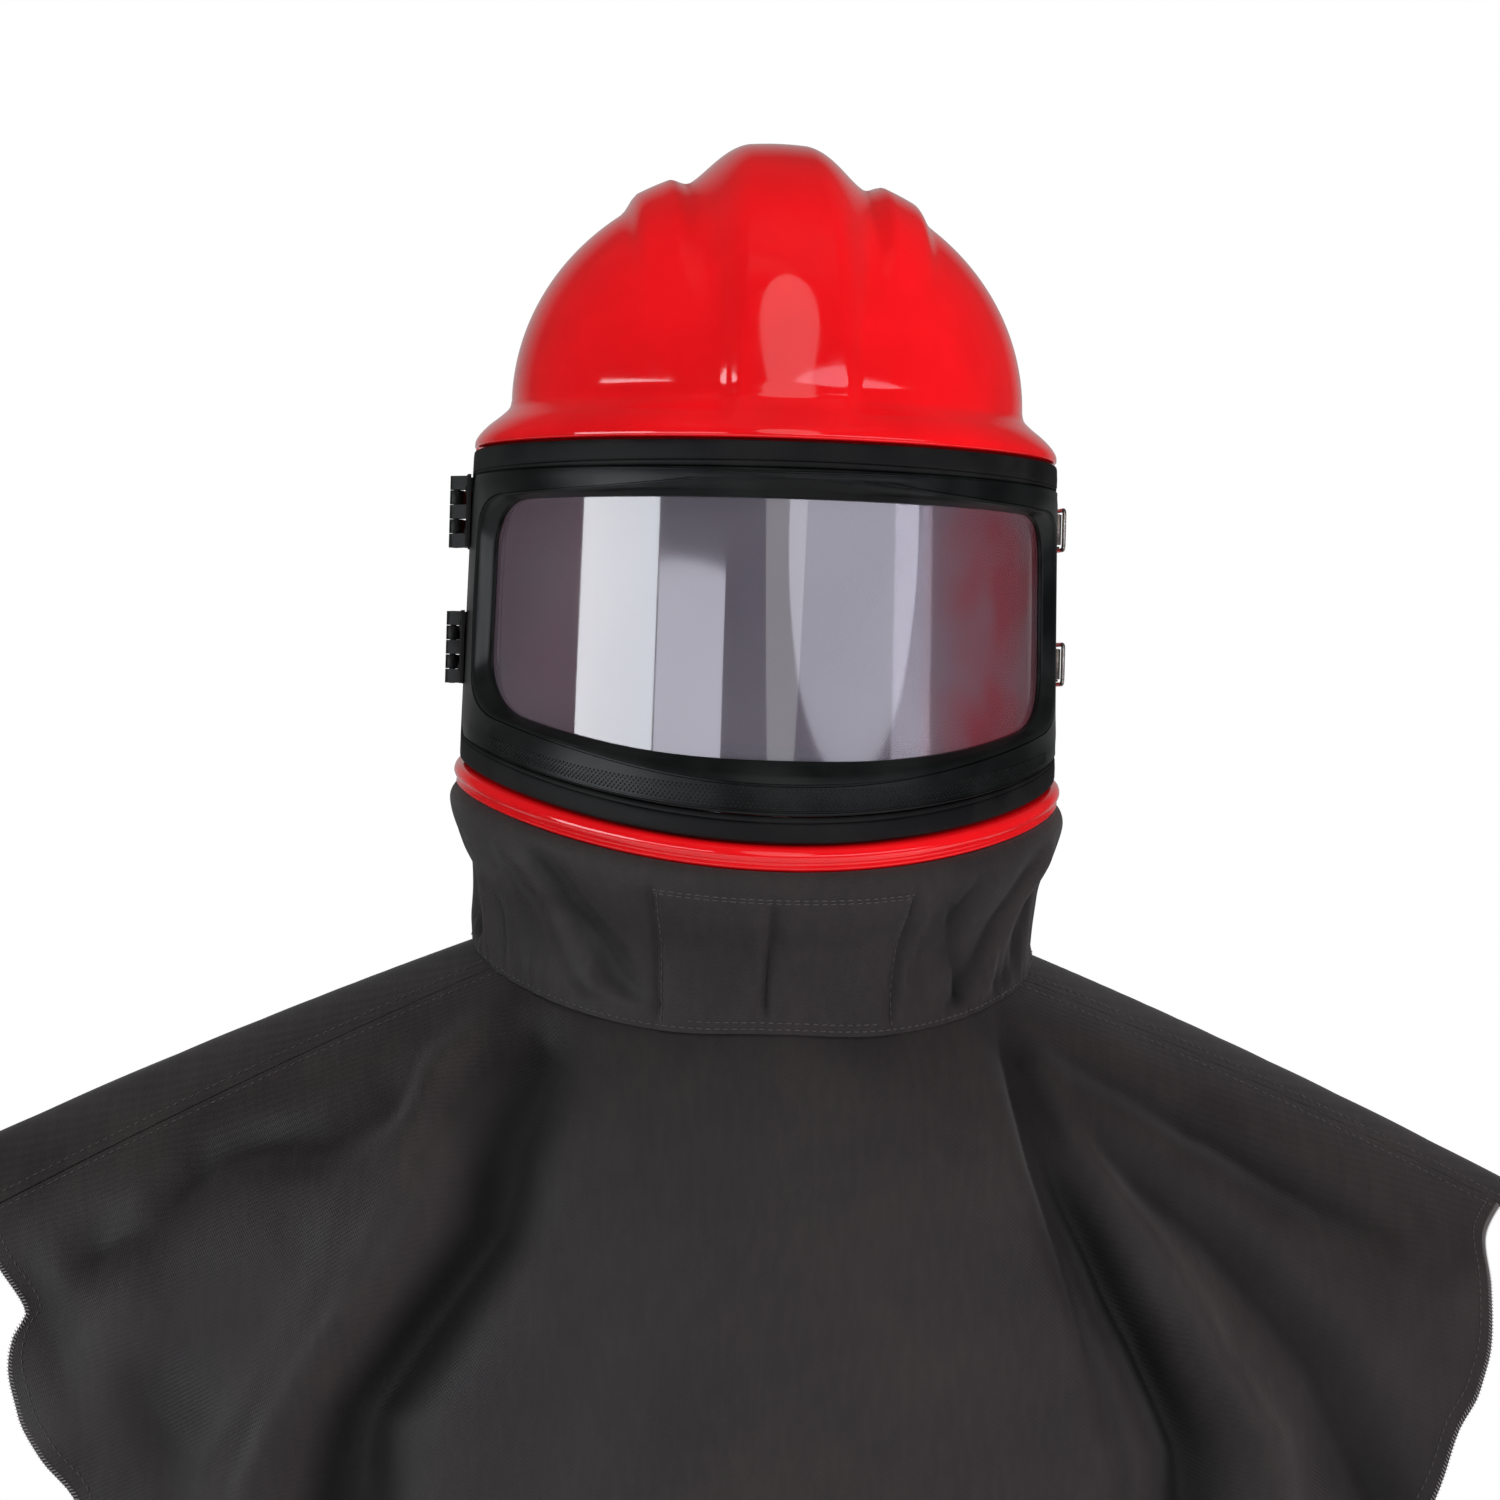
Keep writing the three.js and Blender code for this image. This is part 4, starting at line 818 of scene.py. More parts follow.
def body_out(x, fall):
    share = np.minimum(np.abs(x) / CAPE_HALF_SPAN, 1)
    depth = lerp(np.where(fall > 0, CHEST_DEPTH, BACK_DEPTH), TIP_DEPTH, share ** 1.6)
    bend = np.where(fall > 0, CHEST_ROUND, BACK_ROUND) - TIP_ROUND * share
    down = np.abs(fall)
    return depth * (1 - np.exp(-down / bend)) + HANG_SPREAD * down


def cape_surface(x, fall):
    z = ridge_level(x) - np.hypot(fall, RIDGE_ROUND) + RIDGE_ROUND
    y = RIDGE_LINE - np.sign(fall) * body_out(x, fall)
    return np.stack(np.broadcast_arrays(x, y, z), axis=-1)


def cape_normal(x, fall):
    across = cape_surface(x + 0.5, fall) - cape_surface(x - 0.5, fall)
    down = cape_surface(x, fall + 0.5) - cape_surface(x, fall - 0.5)
    normal = np.cross(down, across)
    return normal / np.linalg.norm(normal, axis=-1, keepdims=True)


def fall_at(x, y):
    """The fall at which the cape passes a point of the plan."""
    side = np.where(y < RIDGE_LINE, 1.0, -1.0)
    low, high = np.zeros_like(x), np.full_like(x, CAPE_BOTTOM)
    for _ in range(40):
        middle = (low + high) / 2
        short = body_out(x, side * middle) < np.abs(y - RIDGE_LINE)
        low, high = np.where(short, middle, low), np.where(short, high, middle)
    return side * low


def neck_edge(theta):
    point = plan_point((NECK_HALF_WIDTH, NECK_FRONT, NECK_BACK), theta, 0.0 * theta, 0)
    return point[..., 0], fall_at(point[..., 0], point[..., 1])


def neck_seam_angle(side):
    low, high = 0.0, math.pi / 2
    for _ in range(40):
        middle = (low + high) / 2
        if neck_edge(np.array([side * middle]))[1][0] > SEAM_FALL:
            low = middle
        else:
            high = middle
    return side * low


def hem_reach(fall):
    return CAPE_WAIST + (CAPE_HALF_SPAN - CAPE_WAIST) * np.exp(-np.abs(fall) / CAPE_TAPER)


def seam_fall_at(x):
    share = np.clip((np.abs(x) - NECK_HALF_WIDTH) / (CAPE_HALF_SPAN - NECK_HALF_WIDTH), 0, 1)
    return SEAM_FALL + np.where(x < 0, SEAM_TIP_DROP * share, 0)


# Folds of the cape as lines of (share of the half span across, share of the height down), with their
# width and height in millimetres and how sharp they are: 2 is a soft roll and 1 a pressed crease.
FRONT_FOLDS = (
    ((-0.25, 0.04), (-0.278, 0.081), (-0.348, 0.211), (-0.492, 0.31), (-0.52, 0.45), (-0.5, 0.85),
     22, -19, 1.8),
    ((-0.35, 0.05), (-0.398, 0.121), (-0.525, 0.245), (-0.622, 0.336), (-0.67, 0.85), 22, 13, 2),
    ((-0.3, 0.04), (-0.321, 0.073), (-0.419, 0.149), (-0.521, 0.24), 8, -5, 1.4),
    ((-0.66, 0.015), (-0.704, 0.087), (-0.756, 0.113), (-0.867, 0.12), 14, -9, 1.6),
    ((-0.67, 0.074), (-0.534, 0.101), (-0.4, 0.087), 12, -7, 2),
    ((-0.74, 0.06), (-0.8, 0.15), (-0.83, 0.3), 22, 6, 2),
    ((-0.799, 0.208), (-0.686, 0.303), (-0.64, 0.42), 13, -6, 1.6),
    ((-0.9, 0.11), (-0.86, 0.17), (-0.8, 0.3), 9, -4, 1.6),
    ((0.296, 0.05), (0.342, 0.199), (0.422, 0.364), (0.45, 0.8), 6, -4, 1.3),
    ((0.318, 0.09), (0.398, 0.199), (0.437, 0.244), (0.507, 0.322), (0.58, 0.85), 17, -18, 1.8),
    ((0.345, 0.09), (0.46, 0.201), (0.535, 0.254), (0.589, 0.291), (0.7, 0.85), 16, 12, 2),
    ((0.286, 0.04), (0.374, 0.13), (0.502, 0.24), 7, -4, 1.4),
    ((0.325, 0.05), (0.509, 0.072), (0.602, 0.078), (0.718, 0.089), (0.865, 0.083), 13, -8, 1.8),
    ((0.336, 0.1), (0.56, 0.155), (0.694, 0.213), (0.8, 0.33), (0.82, 0.8), 19, -9, 2),
    ((-0.12, 0.3), (-0.16, 0.95), 42, 6, 2),
    ((0.16, 0.3), (0.2, 0.95), 42, 6, 2),
    ((0.02, 0.5), (0.03, 0.98), 30, -4, 2),
)

BACK_FOLDS = (
    ((-0.26, 0.06), (-0.36, 0.3), (-0.5, 0.9), 30, 9, 2),
    ((0.27, 0.06), (0.36, 0.3), (0.5, 0.9), 30, 9, 2),
    ((-0.34, 0.05), (-0.5, 0.25), (-0.64, 0.8), 20, -8, 1.8),
    ((0.36, 0.05), (0.5, 0.25), (0.66, 0.8), 20, -8, 1.8),
    ((-0.1, 0.16), (-0.14, 0.95), 36, -8, 2),
    ((0.12, 0.16), (0.16, 0.95), 36, -8, 2),
    ((-0.02, 0.3), (0.02, 0.95), 26, 5, 2),
    ((-0.5, 0.03), (-0.74, 0.08), (-0.86, 0.2), 15, -5, 1.7),
    ((0.5, 0.03), (0.7, 0.1), (0.84, 0.24), 15, -5, 1.7),
)


def fold_height(x, fall, folds):
    """Height of the folds at places of the cape, each tapered towards the two ends of its line."""
    down = np.abs(fall)
    # The lines wander a little, as cloth does
    x = x + 7 * value_noise(x / 70 + 9, down / 60, 5) + 2 * value_noise(x / 22, down / 30 + 4, 6)
    height = np.zeros_like(x)
    for fold in folds:
        *line, width, high, power = fold
        line = np.array(line) * (CAPE_HALF_SPAN, CAPE_TALL)
        steps = np.linalg.norm(np.diff(line, axis=0), axis=1)
        total, run = steps.sum(), 0.0
        best, place = np.full_like(x, np.inf), np.zeros_like(x)
        for start, end, length in zip(line[:-1], line[1:], steps):
            way = (end - start) / length
            t = np.clip((x - start[0]) * way[0] + (down - start[1]) * way[1], 0, length)
            gap = np.hypot(x - start[0] - way[0] * t, down - start[1] - way[1] * t)
            closer = gap < best
            best, place = np.where(closer, gap, best), np.where(closer, run + t, place)
            run += length
        begun = smoothstep(place, -0.12 * total, 0.2 * total)
        ended = smoothstep(place, 0.8 * total, 1.02 * total)
        spread = width * lerp(0.75, 1.25, place / total)
        height += high * (begun * (1 - ended)) * np.exp(-(best / spread) ** power)
    return height


def cape_lift(x, fall, share, front):
    """Folds and wrinkles of a panel, calm at the neck edge and along the seam."""
    off_seam = np.abs(fall - seam_fall_at(x))
    calm = smoothstep(share, 0.0, 0.07) * smoothstep(np.abs(fall), 16, 48) * smoothstep(off_seam, 2, 26)
    height = fold_height(x, fall, FRONT_FOLDS if front else BACK_FOLDS) * calm
    seed = 11 if front else 12
    lean = x + 0.35 * np.sign(x) * np.abs(fall)
    loose = smoothstep(np.abs(x), 50, 140)
    wrinkles = (1.6 * value_noise(lean / 34, fall / 95, seed)
                + 0.7 * value_noise(lean / 13, fall / 46, seed + 2))
    puckers = 0.5 * value_noise(x / 9, fall / 60, seed + 4) * np.exp(-share * 14)
    flutes = 9 * value_noise(fall / 75 + x / 150, x / 240 + 3, seed + 6) * smoothstep(share, 0.6, 1)
    eased = smoothstep(share, 0, 0.05) * smoothstep(np.abs(fall), 12, 40) * smoothstep(off_seam, 1, 30)
    return height + (wrinkles * (0.25 + 0.75 * loose) + puckers + flutes) * eased


# How far the side hems wander out, in millimetres, at shares of the cape's height down
HEM_DOWNS = (0, 0.03, 0.06, 0.096, 0.14, 0.157, 0.179, 0.216, 0.257, 0.305, 0.42, 0.6, 0.76, 0.9, 1.2)
LEFT_HEM = (0, 1, 0, -1, -5, 2, 6.7, 7, 1.7, -6.8, 3, -5, 4, 0, 0)
RIGHT_HEM = (0, -7, -11, -4, 3, 4, 4, 0, -1, -3, -5, 4, -4, 0, 0)


def hem_wander(fall, side, front):
    share = np.clip(np.abs(fall) / CAPE_TALL, 0, 1.19)
    left = smooth_through(share, HEM_DOWNS, LEFT_HEM)
    right = smooth_through(share, HEM_DOWNS, RIGHT_HEM)
    return np.where(side < 0, left, right) if front else -0.6 * np.where(side < 0, right, left)


def cape_border(front):
    """A function from 0 to 1 along the panel's free edge: one side hem, the bottom hem, the other."""
    sign = 1 if front else -1

    def hem_fall(x):
        return ridge_level(x) + CAPE_BOTTOM

    corner = float(hem_reach(hem_fall(np.float64(CAPE_WAIST))))

    def place(u):
        side = np.where(u < 0.5, -1.0, 1.0)
        along = np.clip(np.where(u < 0.5, u, 1 - u) / 0.3, 0, 1)
        tip = seam_fall_at(side * CAPE_HALF_SPAN) + sign * SEAM_GAP
        side_fall = lerp(tip, sign * hem_fall(corner), along ** 1.5)
        x = lerp(-corner, corner, np.clip((u - 0.3) / 0.4, 0, 1))
        bottom = (u > 0.3) & (u < 0.7)
        reach = hem_reach(side_fall) + hem_wander(side_fall, side, front)
        return np.where(bottom, x, side * reach), np.where(bottom, sign * hem_fall(x), side_fall)

    return place


CAPE_RAYS = 281
CAPE_ROWS = 140


def cape_grid(front, rays=None, shares=None):
    """x, fall and share down of places on a panel: rays from the neck edge to the free edge."""
    sign = 1 if front else -1
    u = np.linspace(0, 1, CAPE_RAYS) if rays is None else np.asarray(rays, float)
    if shares is None:
        shares = np.linspace(0, 1, CAPE_ROWS)
        shares = 0.35 * shares + 0.65 * shares * shares
    seams = [neck_seam_angle(-1), neck_seam_angle(1)]
    start, end = seams if front else (seams[0], seams[1] - 2 * math.pi)
    x0, fall0 = neck_edge(lerp(start, end, u))
    fall0 = np.where((u == 0) | (u == 1), SEAM_FALL + sign * SEAM_GAP, fall0)
    x1, fall1 = cape_border(front)(u)
    share = np.broadcast_to(np.asarray(shares, float)[None, :], (len(u), len(shares)))
    return lerp(x0[:, None], x1[:, None], share), lerp(fall0[:, None], fall1[:, None], share), share


def cape_points(front, x, fall, share, out):
    height = cape_lift(x, fall, share, front)
    return cape_surface(x, fall) + cape_normal(x, fall) * (height + out)[..., None]


def cape_panel(name, front, material):
    x, fall, share = cape_grid(front)
    outer = cape_points(front, x, fall, share, 0 * x)
    inner = cape_points(front, x, fall, share, 0 * x - CLOTH_WALL)
    points, faces = sheet_mesh(outer, inner)
    length = np.concatenate([np.zeros((len(x), 1)), np.cumsum(np.linalg.norm(
        np.diff(outer, axis=1), axis=2), axis=1)], axis=1)
    uv = np.stack([x, -length], axis=-1).reshape(-1, 2)
    # Fold height, which the cloth material turns into painted shade in the folds
    relief = cape_lift(x, fall, share, front).reshape(-1) / 15
    return new_piece(name, points, faces, material, 60, np.concatenate([uv, uv]), np.tile(relief, 2))


# The collar from the helmet's rim down to the cape: slump and reach at shares of its height
COLLAR_DOWNS = (0, 0.03, 0.14, 0.32, 0.46, 0.62, 0.82, 1)
COLLAR_SLUMPS = (0.18, 0.62, 1, 0.6, 0.05, 0, 0.1, 0)
COLLAR_REACHES = (0, 0, 0.05, 0.3, 0.6, 0.85, 1, 1)

# Its creases: angle at the top and at the foot in degrees, where down they start and end, width in
# degrees, height in millimetres and sharpness
COLLAR_CREASES = (
    (-52, -24, 0.0, 0.85, 4.5, -3.2, 2), (-60, -34, 0.0, 0.9, 5, 2.2, 2),
    (-46, -20, 0.05, 0.7, 2, -1.2, 1.3), (-23.4, -22.6, 0.14, 1.0, 0.9, -1.8, 1.2),
    (-1.8, -1.6, 0.16, 0.95, 1.1, -2.4, 1.2), (-4.2, -4.4, 0.16, 0.9, 1.9, 1.3, 2),
    (1.5, 2, 0.2, 0.9, 1.6, 0.9, 2), (24.4, 23.6, 0.1, 1.0, 1.0, -2.6, 1.2),
    (27.5, 26, 0.1, 0.8, 1.8, 1.6, 2), (30, 44, 0.2, 1.0, 2.2, -2.2, 1.5),
    (42, 25, 0.0, 0.4, 2.6, -3.0, 1.5), (61, 38, 0.0, 1.0, 4.5, -3.0, 1.8),
    (68, 46, 0.05, 0.95, 4, 2.0, 2), (78, 56, 0.1, 1.0, 4.5, -2.4, 2),
    (-70, -64, 0.5, 1.0, 2.2, -1.8, 1.5), (-76, -72, 0.4, 1.0, 2.4, 1.4, 2),
    (-82, -80, 0.45, 1.0, 2.0, -1.5, 1.5), (52, 54, 0.6, 1.0, 1.8, -1.4, 1.5),
    (58, 60, 0.62, 1.0, 1.6, 1.1, 2), (-95, -80, 0.0, 0.9, 7, -2.6, 2),
    (95, 84, 0.1, 1.0, 6, -2.2, 2), (120, 135, 0.0, 1.0, 9, -3.0, 2),
    (-130, -120, 0.0, 1.0, 9, -3.0, 2), (175, 170, 0.0, 1.0, 10, 3.2, 2),
    (150, 158, 0.1, 0.9, 5, -2.4, 1.8), (-155, -160, 0.1, 0.9, 5, -2.4, 1.8),
)


def collar_lift(theta, down):
    height = np.zeros(np.broadcast(theta, down).shape)
    for top, foot, start, end, width, high, power in COLLAR_CREASES:
        centre = np.radians(lerp(top, foot, down))
        gap = np.degrees(np.arctan2(np.sin(theta - centre), np.cos(theta - centre)))
        begun = smoothstep(down, start - COLLAR_FADE / 2, start + COLLAR_FADE)
        ended = smoothstep(down, end - COLLAR_FADE, end + COLLAR_FADE / 2)
        height += high * (begun * (1 - ended)) * np.exp(-np.abs(gap / width) ** power)
    around = np.degrees(theta)
    loose = 0.9 * value_noise(around / 9, down * 3 + 2, 21) + 0.4 * value_noise(around / 3.4, down * 5, 22)
    gathers = (0.55 * value_noise(around / 1.7, down * 2, 23) * smoothstep(down, 0.72, 0.98)
               * smoothstep(np.abs(around), 30, 48))
    # The doubled panel sewn on in front
    panel = (0.9 * smoothstep(around, -22.9, -22.2) * (1 - smoothstep(around, 23.5, 24.3))
             * smoothstep(down, 0.16, 0.185))
    calm = smoothstep(down, 0.04, 0.26)
    return (height + loose) * calm * (1 - smoothstep(down, 0.84, 1)) + gathers + panel


def collar_points(theta, down, out):
    foot = (COLLAR_HALF_WIDTH, COLLAR_FRONT, COLLAR_BACK)
    edge = plan_point(foot, theta, 0.0 * theta, 0)
    low = cape_surface(edge[..., 0], fall_at(edge[..., 0], edge[..., 1]))[..., 2] + CLOTH_GAP
    high = rim_level(theta) - BEAD_HEIGHT - 0.2 - SEAT_GAP
    slump = smooth_through(down, COLLAR_DOWNS, COLLAR_SLUMPS) * COLLAR_SLUMP
    reach = smooth_through(down, COLLAR_DOWNS, COLLAR_REACHES)
    plan = mixed_plan(wall_plan(high), foot, reach)
    return plan_point(plan, theta, lerp(high, low, down), slump + collar_lift(theta, down) + out)


def collar_mesh(material):
    columns = 620
    theta = np.linspace(-math.pi, math.pi, columns + 1)[:-1][None, :]
    top = np.concatenate([np.linspace(0, 0.16, 14), np.linspace(0.16, 1, 58)[1:]])[:, None]
    outer = collar_points(theta + 0 * top, top + 0 * theta, 0)
    inner = collar_points(theta + 0 * top, top + 0 * theta, -CLOTH_WALL)[::-1]
    rings = np.concatenate([outer, inner])
    points, faces = ring_mesh(rings, joined=True)
    around = (theta + 0 * top) * COLLAR_HALF_WIDTH
    uv = np.stack([around, -110 * (top + 0 * theta)], axis=-1)
    # Crease height, which the cloth material turns into painted shade in the creases
    relief = collar_lift(theta, top) / 5
    return new_piece("neck_collar", points, faces, material, 60, np.concatenate([uv, uv[::-1]]),
                     np.concatenate([relief, relief[::-1]]))


# Helmet
def helmet_angles():
    even = np.linspace(-math.pi, math.pi, 321)[:-1]
    step = np.linspace(RECESS_HALF_ANGLE - 0.004, RECESS_HALF_ANGLE + RECESS_SLOPE + 0.004, 12)
    clear = np.abs(np.abs(even) - RECESS_HALF_ANGLE - RECESS_SLOPE / 2) > RECESS_SLOPE / 2 + 0.012
    return np.sort(np.concatenate([even[clear], step, -step]))


def helmet_rings():
    theta = helmet_angles()
    sunk = recess_share(theta)
    rings = [dome_point(np.radians(tilt), theta, 0) for tilt in np.linspace(1.5, 90, 66)]
    for drop in np.linspace(0, 1, 19)[1:]:
        reach = float(smooth_through(np.array([drop]), SHOULDER_DROPS, SHOULDER_REACHES)[0])
        rings.append(shoulder_point(theta, drop, reach, 0))
    lip = ((0.25, 0.02), (0.55, 0.06), (0.8, 0.14), (0.9, 0.9), (1.3, 0.98), (2, 1))
    rings += [wall_point(theta, FLANGE_LEVEL - drop, -RECESS_DEPTH * share * sunk) for drop, share in lip]
    for share in np.linspace(0, 1, 26)[1:]:
        z = lerp(FLANGE_LEVEL - lip[-1][0], rim_level(theta) + 1.6, share)
        rings.append(wall_point(theta, z, -RECESS_DEPTH * sunk))
    foot = ((0.9, 0.97), (0.4, 0.85), (0.15, 0.2))
    rings += [wall_point(theta, rim_level(theta) + rise, -RECESS_DEPTH * share * sunk)
              for rise, share in foot]
    rings += [wall_point(theta, rim_level(theta) - drop, out) for drop, out in zip(RIM_DROPS, RIM_OUTS)]
    end = BEAD_HEIGHT + NECK_FLANGE_HEIGHT
    out, within = -NECK_FLANGE_INSET, -NECK_FLANGE_INSET - SHELL_WALL
    flange = ((BEAD_HEIGHT + 0.8, out), (end - 0.5, out), (end, out - 0.5), (end, within + 0.5),
              (end - 0.5, within), (0.8 * BEAD_HEIGHT, within))
    rings += [wall_point(theta, rim_level(theta) - drop, out) for drop, out in flange]
    inset = -RECESS_DEPTH * sunk - SHELL_WALL
    for share in np.linspace(0, 1, 12):
        z = lerp(rim_level(theta) + SHELL_WALL, RECESS_TOP - SHELL_WALL, share)
        rings.append(wall_point(theta, z, inset))
    rings.append(shoulder_point(theta, 0.77, 0.9, -0.8 * RECESS_DEPTH * sunk - 1.2 * SHELL_WALL))
    rings.append(shoulder_point(theta, 0.356, 0.3, -1.2 * SHELL_WALL + 0 * theta))
    rings += [dome_point(np.radians(tilt), theta, SHELL_WALL) for tilt in np.linspace(90, 4, 34)]
    return np.array(rings)


def combined(piece, others, operation, edge_mm=0.0):
    """The piece joined with other pieces or cut by them, its edges rounded, as plain mesh."""
    for other, kind in zip(others, operation):
        modifier = piece.modifiers.new("Combine", "BOOLEAN")
        modifier.operation = kind
        modifier.solver = "MANIFOLD"
        modifier.object = other
    if edge_mm:
        bevel = piece.modifiers.new("Edges", "BEVEL")
        bevel.width = edge_mm * MM
        bevel.segments = 2
        bevel.limit_method = "ANGLE"
        bevel.angle_limit = math.radians(35)
    baked(piece)
    for other in others:
        bpy.data.objects.remove(other, do_unlink=True)
    piece.data.set_sharp_from_angle(angle=math.radians(50))
    return piece


def build_helmet(settings):
    material = red_moulding(settings.shell_colour, settings.shell_shade)
    crown = DOME_BASE + DOME_RISE + RIDGE_HEIGHT
    points, faces = ring_mesh(helmet_rings(), poles=((0, 0, crown), (0, 0, 0)))
    helmet = new_piece("helmet", points, faces, material, 50)
    grids = window_plate_points(LENS_MARGIN, -RECESS_DEPTH / 2, -(RECESS_DEPTH + 3 * SHELL_WALL))
    cutter = new_piece("opening_cutter", *sheet_mesh(*grids), material)
    combined(helmet, [cutter], ["DIFFERENCE"])
    carried(helmet, "hood", "helmet_shell", "red_shell")


# Window
def knurl_points(pitch):
    """Places of the raised dots on the lower bar, in staggered rows, with the wall's normal at each."""
    places, rows = [], []
    low_edge, high_edge = 2.4, FRAME_BOTTOM_BAR - 11.4
    for row, drop in enumerate(np.arange(high_edge, low_edge, -0.8 * pitch)):
        reach = math.radians(66)
        theta = np.arange(-reach, reach, along_wall(pitch)) + (row % 2) * along_wall(pitch) / 2
        bar = seal_bottom(theta) + SEAL_WIDTH
        band = opening_bottom(theta) - bar
        z = bar + low_edge + (drop - low_edge) * (band - 13.8) / (high_edge - low_edge)
        places.append(wall_point(theta, z, 0.62))
        rows.append(wall_point(theta, z, 1.62) - places[-1])
    return np.concatenate(places), np.concatenate(rows)


def build_window(settings):
    black = black_moulding(settings.frame_colour, settings.frame_shade)
    rubber = black_moulding(settings.rubber_colour, settings.rubber_shade, "Matte EPDM rubber strip", 1.6,
                            (0.55, 0.75))
    clear = clear_visor(settings.lens_tint, settings.lens_haze, settings.lens_painted_shell_red)
    loops = outlines()
    ring = new_piece("window_ring", *ring_mesh(bar_rings(loops["opening"], loops["frame"], loops["ledge"],
                                                         FRAME_SECTION), joined=True), black, 32)
    strip = new_piece("rubber_strip", *ring_mesh(bar_rings(loops["frame"], loops["seal"], loops["frame"],
                                                           SEAL_SECTION), joined=True), rubber, 40)
    face = -(REBATE_DEPTH + SEAT_GAP)
    lens = new_piece("visor", *sheet_mesh(*window_plate_points(LENS_MARGIN - SEAT_GAP, face,
                                                               face - LENS_THICKNESS)), clear, 40)
    places, lifts = knurl_points(settings.knurl_pitch / MM)
    size = (0.62 * settings.knurl_pitch / MM, 0.5 * settings.knurl_pitch / MM, 0.7)
    dots = bead_row("grip_band", places, lifts, black, size, faces=(5, 4),
                    alongs=np.tile((1.0, 0.0, 0.0), (len(places), 1)), turn=math.radians(45))
    for piece, node, slot in ((ring, "window_frame", "black_frame"), (strip, "frame_seal", "rubber"),
                              (lens, "lens", "window"), (dots, "window_frame", "black_frame")):
        carried(piece, "window", node, slot)


# Hardware: plan outlines stood up along Z, joined, cut and given rounded edges
def beside_wall(side, y, z, out):
    """The plan of a point beside the wall: side is -1 or 1, y its place along it, out its distance."""
    plan = wall_plan(z)
    y = np.asarray(y, float)
    depth = np.where(y < 0, plan[1], plan[2])
    return plan_point(plan, side * np.arccos(-y / depth), z, out)[..., :2]


def wall_strip(side, start, end, z, out, thickness):
    places = np.linspace(start, end, 14)
    face = beside_wall(side, places, z, out + thickness)
    return np.concatenate([face, beside_wall(side, places[::-1], z, out)])


def round_outline(centre, radius, sides=40):
    turns = np.linspace(0, 2 * math.pi, sides + 1)[:-1]
    return np.stack([centre[0] + radius * np.cos(turns), centre[1] + radius * np.sin(turns)], axis=-1)


def prism(outline, low, high):
    outline = np.asarray(outline, float)
    count = len(outline)
    points = np.concatenate([np.column_stack([outline, np.full(count, z)]) for z in (low, high)])
    here = np.arange(count)
    after = (here + 1) % count
    sides = np.stack([here, after, after + count, here + count], axis=-1).tolist()
    return points, [*sides, here[::-1].tolist(), (here + count).tolist()]


def forged(name, solids, cuts, material, edge_mm):
    piece, *others = [new_piece(name, *solid, material) for solid in (*solids, *cuts)]
    kinds = ["UNION"] * (len(solids) - 1) + ["DIFFERENCE"] * len(cuts)
    return combined(piece, others, kinds, edge_mm)


def build_hinge(name, level, paint, edge_mm):
    """A leaf on the frame with the odd knuckles, and one on the shell with the even ones and the pin."""
    low, high = level - HINGE_HEIGHT / 2, level + HINGE_HEIGHT / 2
    axis = beside_wall(-1, HINGE_SETBACK, FLANGE_LEVEL - WALL_DROP / 2, HINGE_STANDOFF)
    pitch = HINGE_HEIGHT / KNUCKLE_COUNT
    leaves = (("frame", 0, DOOR_GAP, HINGE_SETBACK - FRAME_LEAF_LEAD, -1, "window"),
              ("shell", 1, SEAT_GAP, HINGE_SETBACK + SHELL_LEAF_LEAD, 1, "hood"))
    for kind, first, out, near, reach, body in leaves:
        far = near + reach * LEAF_LENGTH
        strip = wall_strip(-1, min(near, far), max(near, far), low, out, LEAF_THICKNESS)
        arm = np.array([*beside_wall(-1, [near, near + reach * HINGE_ARM_LENGTH], low, out),
                        beside_wall(-1, near + reach * HINGE_ARM_LENGTH, low, out + LEAF_THICKNESS),
                        axis + (-0.55 * HINGE_BARREL, 0.8 * reach * HINGE_BARREL),
                        axis + (0.8 * HINGE_BARREL, 0)])
        solids, cuts = [prism(strip, low, high)], []
        for knuckle in range(KNUCKLE_COUNT):
            bottom = low + knuckle * pitch
            if knuckle % 2 == first:
                levels = bottom + SEAT_GAP / 2, bottom + pitch - SEAT_GAP / 2
                solids += [prism(round_outline(axis, HINGE_BARREL), *levels), prism(arm, *levels)]
            else:
                levels = bottom - SEAT_GAP / 2, bottom + pitch + SEAT_GAP / 2
                cuts.append(prism(round_outline(axis, HINGE_BARREL + 2 * SEAT_GAP), *levels))
        if kind == "frame":
            cuts.append(prism(round_outline(axis, HINGE_BORE), low - 1, high + 1))
        leaf = forged(f"{name}_{kind}_leaf", solids, cuts, paint, edge_mm)
        pieces = [leaf]
        if kind == "shell":
            pin = prism(round_outline(axis, HINGE_PIN), low, high)
            pieces.append(forged(f"{name}_hinge_pin", [pin], [], paint, edge_mm))
        # Domed rivet heads, two on each leaf
        place = near + reach * LEAF_LENGTH * RIVET_PLACE
        seat = beside_wall(-1, place, low, out + LEAF_THICKNESS - 0.1)
        lift = beside_wall(-1, place, low, out + LEAF_THICKNESS + 0.9) - seat
        heads = [(*seat, level + share * HINGE_HEIGHT) for share in (-RIVET_SPREAD, RIVET_SPREAD)]
        pieces.append(bead_row(f"{name}_{kind}_rivets", heads, [(*lift, 0)] * 2, paint,
                               (2 * RIVET_RADIUS, 2 * RIVET_RADIUS, 2 * RIVET_PROUD + 0.2), faces=(28, 14),
                               alongs=[(0, 0, 1)] * 2))
        for piece in pieces:
            carried(piece, body, f"hinge_{kind}_leaf_{name}", "hinge_black")


